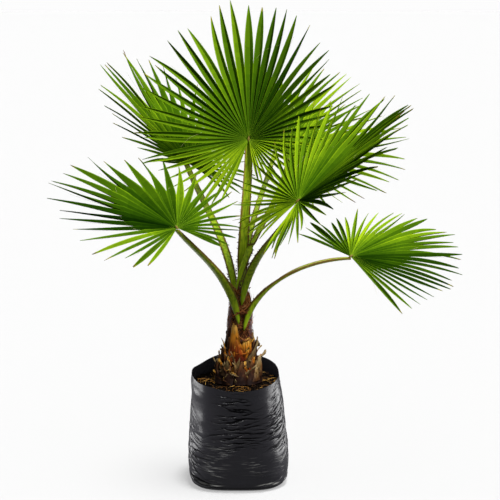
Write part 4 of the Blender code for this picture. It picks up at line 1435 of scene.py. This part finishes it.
class PALM_OT_stage(bpy.types.Operator):
    """Pale floor, soft studio light and the camera"""

    bl_idname = "palm.stage"
    bl_label = "Stage"

    def execute(self, context):
        settings = context.scene.palm_stage
        scene = context.scene
        wide = 160.0
        corners = np.array([(-wide, -wide, 0.0), (wide, -wide, 0.0), (wide, wide, 0.0), (-wide, wide, 0.0)])
        white = Finish("floor_white", Base_Color=(0.15, 0.15, 0.15), Roughness=1.0, Specular_IOR_Level=0.0)
        white.set(Emission_Color=(1.0, 1.0, 1.0), Emission_Strength=0.43)
        floor = make_piece("floor", corners, [np.array([[0, 1, 2, 3]])], [white.material], smooth=False)
        floor.visible_diffuse = False
        floor.visible_glossy = False
        plant = [piece for piece in scene.objects if piece.type == "MESH" and piece != floor]
        self.add_backdrop(45.0)
        pot = [piece for piece in plant if piece.name.startswith(("grow_bag", "soil", "stem_core"))]
        turn = (math.radians(34), math.radians(28), 0.0)
        bag = [piece for piece in plant if piece.name.startswith("grow_bag")]
        rest = [piece for piece in plant if piece not in bag]
        self.add_sun("key_light", settings.sun, settings.softness, turn, rest, plant)
        behind = (math.radians(-52), math.radians(-16), 0.0)
        self.add_sun("back_light", 1.7, math.radians(40), behind, rest, plant)
        self.add_sun("floor_bounce", 2.3, math.radians(70), (math.radians(-118), 0.0, 0.0), rest, plant)
        steep, slanting = (0.0, math.radians(6), 0.0), (math.radians(2), math.radians(25), 0.0)
        self.add_sun("floor_light_steep", 5.7, math.radians(12), steep, [floor], pot)
        self.add_sun("floor_light_slanting", 4.6, math.radians(50), slanting, [floor], pot)
        front = (math.radians(46), math.radians(-24), 0.0)
        self.add_sun("bag_light", 0.50, math.radians(14), front, bag, bag)
        for side in (-1, 1):
            self.add_panel(side, settings, bag)
        self.add_room(settings)
        scene.view_settings.view_transform = "Standard"
        lens = bpy.data.cameras.new("camera")
        lens.lens = settings.lens
        lens.sensor_width = 36.0
        lens.clip_end = 400.0
        camera = bpy.data.objects.new("camera", lens)
        camera.location = settings.eye
        camera.rotation_euler = (math.pi / 2 - settings.pitch, 0.0, 0.0)
        scene.collection.objects.link(camera)
        scene.camera = camera
        return {"FINISHED"}

    def add_backdrop(self, far):
        """White wall round the far edge of the floor, that only the camera sees."""
        turns = np.arange(48) * 2 * math.pi / 48
        ring = np.stack([np.cos(turns), np.sin(turns), turns * 0], axis=-1) * far
        points = np.stack([ring, ring + UPRIGHT * far * 0.8])
        numbers = np.arange(96).reshape(2, 48)
        white = Finish("backdrop_white", Base_Color=(0.0, 0.0, 0.0), Specular_IOR_Level=0.0)
        white.set(Emission_Color=(1.0, 1.0, 1.0), Emission_Strength=0.98)
        wall = make_piece("backdrop", points, [grid_faces(numbers, ring=True)[:, ::-1]], [white.material])
        wall.visible_diffuse = False
        wall.visible_glossy = False
        wall.visible_shadow = False

    def add_sun(self, name, strength, softness, turn, lit, shading):
        """Wide soft sun that lights some pieces only and is shaded by some only."""
        data = bpy.data.lights.new(name, "SUN")
        data.energy = strength
        data.angle = softness
        light = bpy.data.objects.new(name, data)
        light.rotation_euler = turn
        self.aim(light, lit, shading)

    def aim(self, light, lit, shading):
        """Puts a light in the scene so that it reaches some pieces only and is blocked by some only."""
        bpy.context.scene.collection.objects.link(light)
        receivers = bpy.data.collections.new(f"{light.name}_lit")
        blockers = bpy.data.collections.new(f"{light.name}_shading")
        for piece in lit:
            receivers.objects.link(piece)
        for piece in shading:
            blockers.objects.link(piece)
        light.light_linking.receiver_collection = receivers
        light.light_linking.blocker_collection = blockers

    def add_panel(self, side, settings, bag):
        """Upright soft panel that stands low beside and behind the bag, for the sheen down its side."""
        data = bpy.data.lights.new(f"panel_{side}", "AREA")
        data.shape = "RECTANGLE"
        data.size = 0.8
        data.size_y = 0.7
        data.energy = settings.panel
        light = bpy.data.objects.new(f"panel_{side}", data)
        light.location = (side * 1.0, 0.32, 0.36)
        light.rotation_euler = (math.pi / 2, 0.0, side * math.radians(108))
        light.visible_camera = False
        self.aim(light, bag, bag)

    def add_room(self, settings):
        """White light from high above, which fades lower down into a dim one from all round, and some from below."""
        world = bpy.data.worlds.new("white_room")
        world.use_nodes = True
        tree = world.node_tree
        background = tree.nodes["Background"]
        background.inputs["Color"].default_value = (1.0, 1.0, 1.0, 1.0)
        where = tree.nodes.new("ShaderNodeTexCoord")
        parts = tree.nodes.new("ShaderNodeSeparateXYZ")
        both = tree.nodes.new("ShaderNodeMath")
        tree.links.new(where.outputs["Generated"], parts.inputs["Vector"])
        ranges = ((0.35, 0.85, settings.ground, settings.sky), (-0.05, -0.30, 0.0, settings.bounce))
        for index, values in enumerate(ranges):
            fade = tree.nodes.new("ShaderNodeMapRange")
            for name, value in zip(("From Min", "From Max", "To Min", "To Max"), values):
                fade.inputs[name].default_value = value
            tree.links.new(parts.outputs["Z"], fade.inputs["Value"])
            tree.links.new(fade.outputs["Result"], both.inputs[index])
        tree.links.new(both.outputs["Value"], background.inputs["Strength"])
        bpy.context.scene.world = world


class PALM_PT_panel(bpy.types.Panel):
    """Lists the steps that build the palm"""

    bl_label = "Potted palm"
    bl_idname = "PALM_PT_panel"
    bl_space_type = "VIEW_3D"
    bl_region_type = "UI"
    bl_category = "Palm"

    def draw(self, context):
        for step in STEPS:
            self.layout.operator(step.bl_idname)


STEPS = (PALM_OT_bag, PALM_OT_soil, PALM_OT_stem, PALM_OT_petioles, PALM_OT_fans, PALM_OT_stage)
GROUPS = {
    "palm_bag": BagSettings,
    "palm_soil": SoilSettings,
    "palm_stem": StemSettings,
    "palm_leaf": LeafSettings,
    "palm_stage": StageSettings,
}


def register():
    for group in GROUPS.values():
        bpy.utils.register_class(group)
    for name, group in GROUPS.items():
        setattr(bpy.types.Scene, name, bpy.props.PointerProperty(type=group))
    for step in STEPS:
        bpy.utils.register_class(step)
    bpy.utils.register_class(PALM_PT_panel)


def unregister():
    bpy.utils.unregister_class(PALM_PT_panel)
    for step in reversed(STEPS):
        bpy.utils.unregister_class(step)
    for name in GROUPS:
        delattr(bpy.types.Scene, name)
    for group in GROUPS.values():
        bpy.utils.unregister_class(group)


def main():
    register()
    bpy.ops.palm.bag()
    bpy.ops.palm.soil()
    bpy.ops.palm.stem()
    bpy.ops.palm.petioles()
    bpy.ops.palm.fans()
    bpy.ops.palm.stage()


if __name__ == "__main__":
    main()
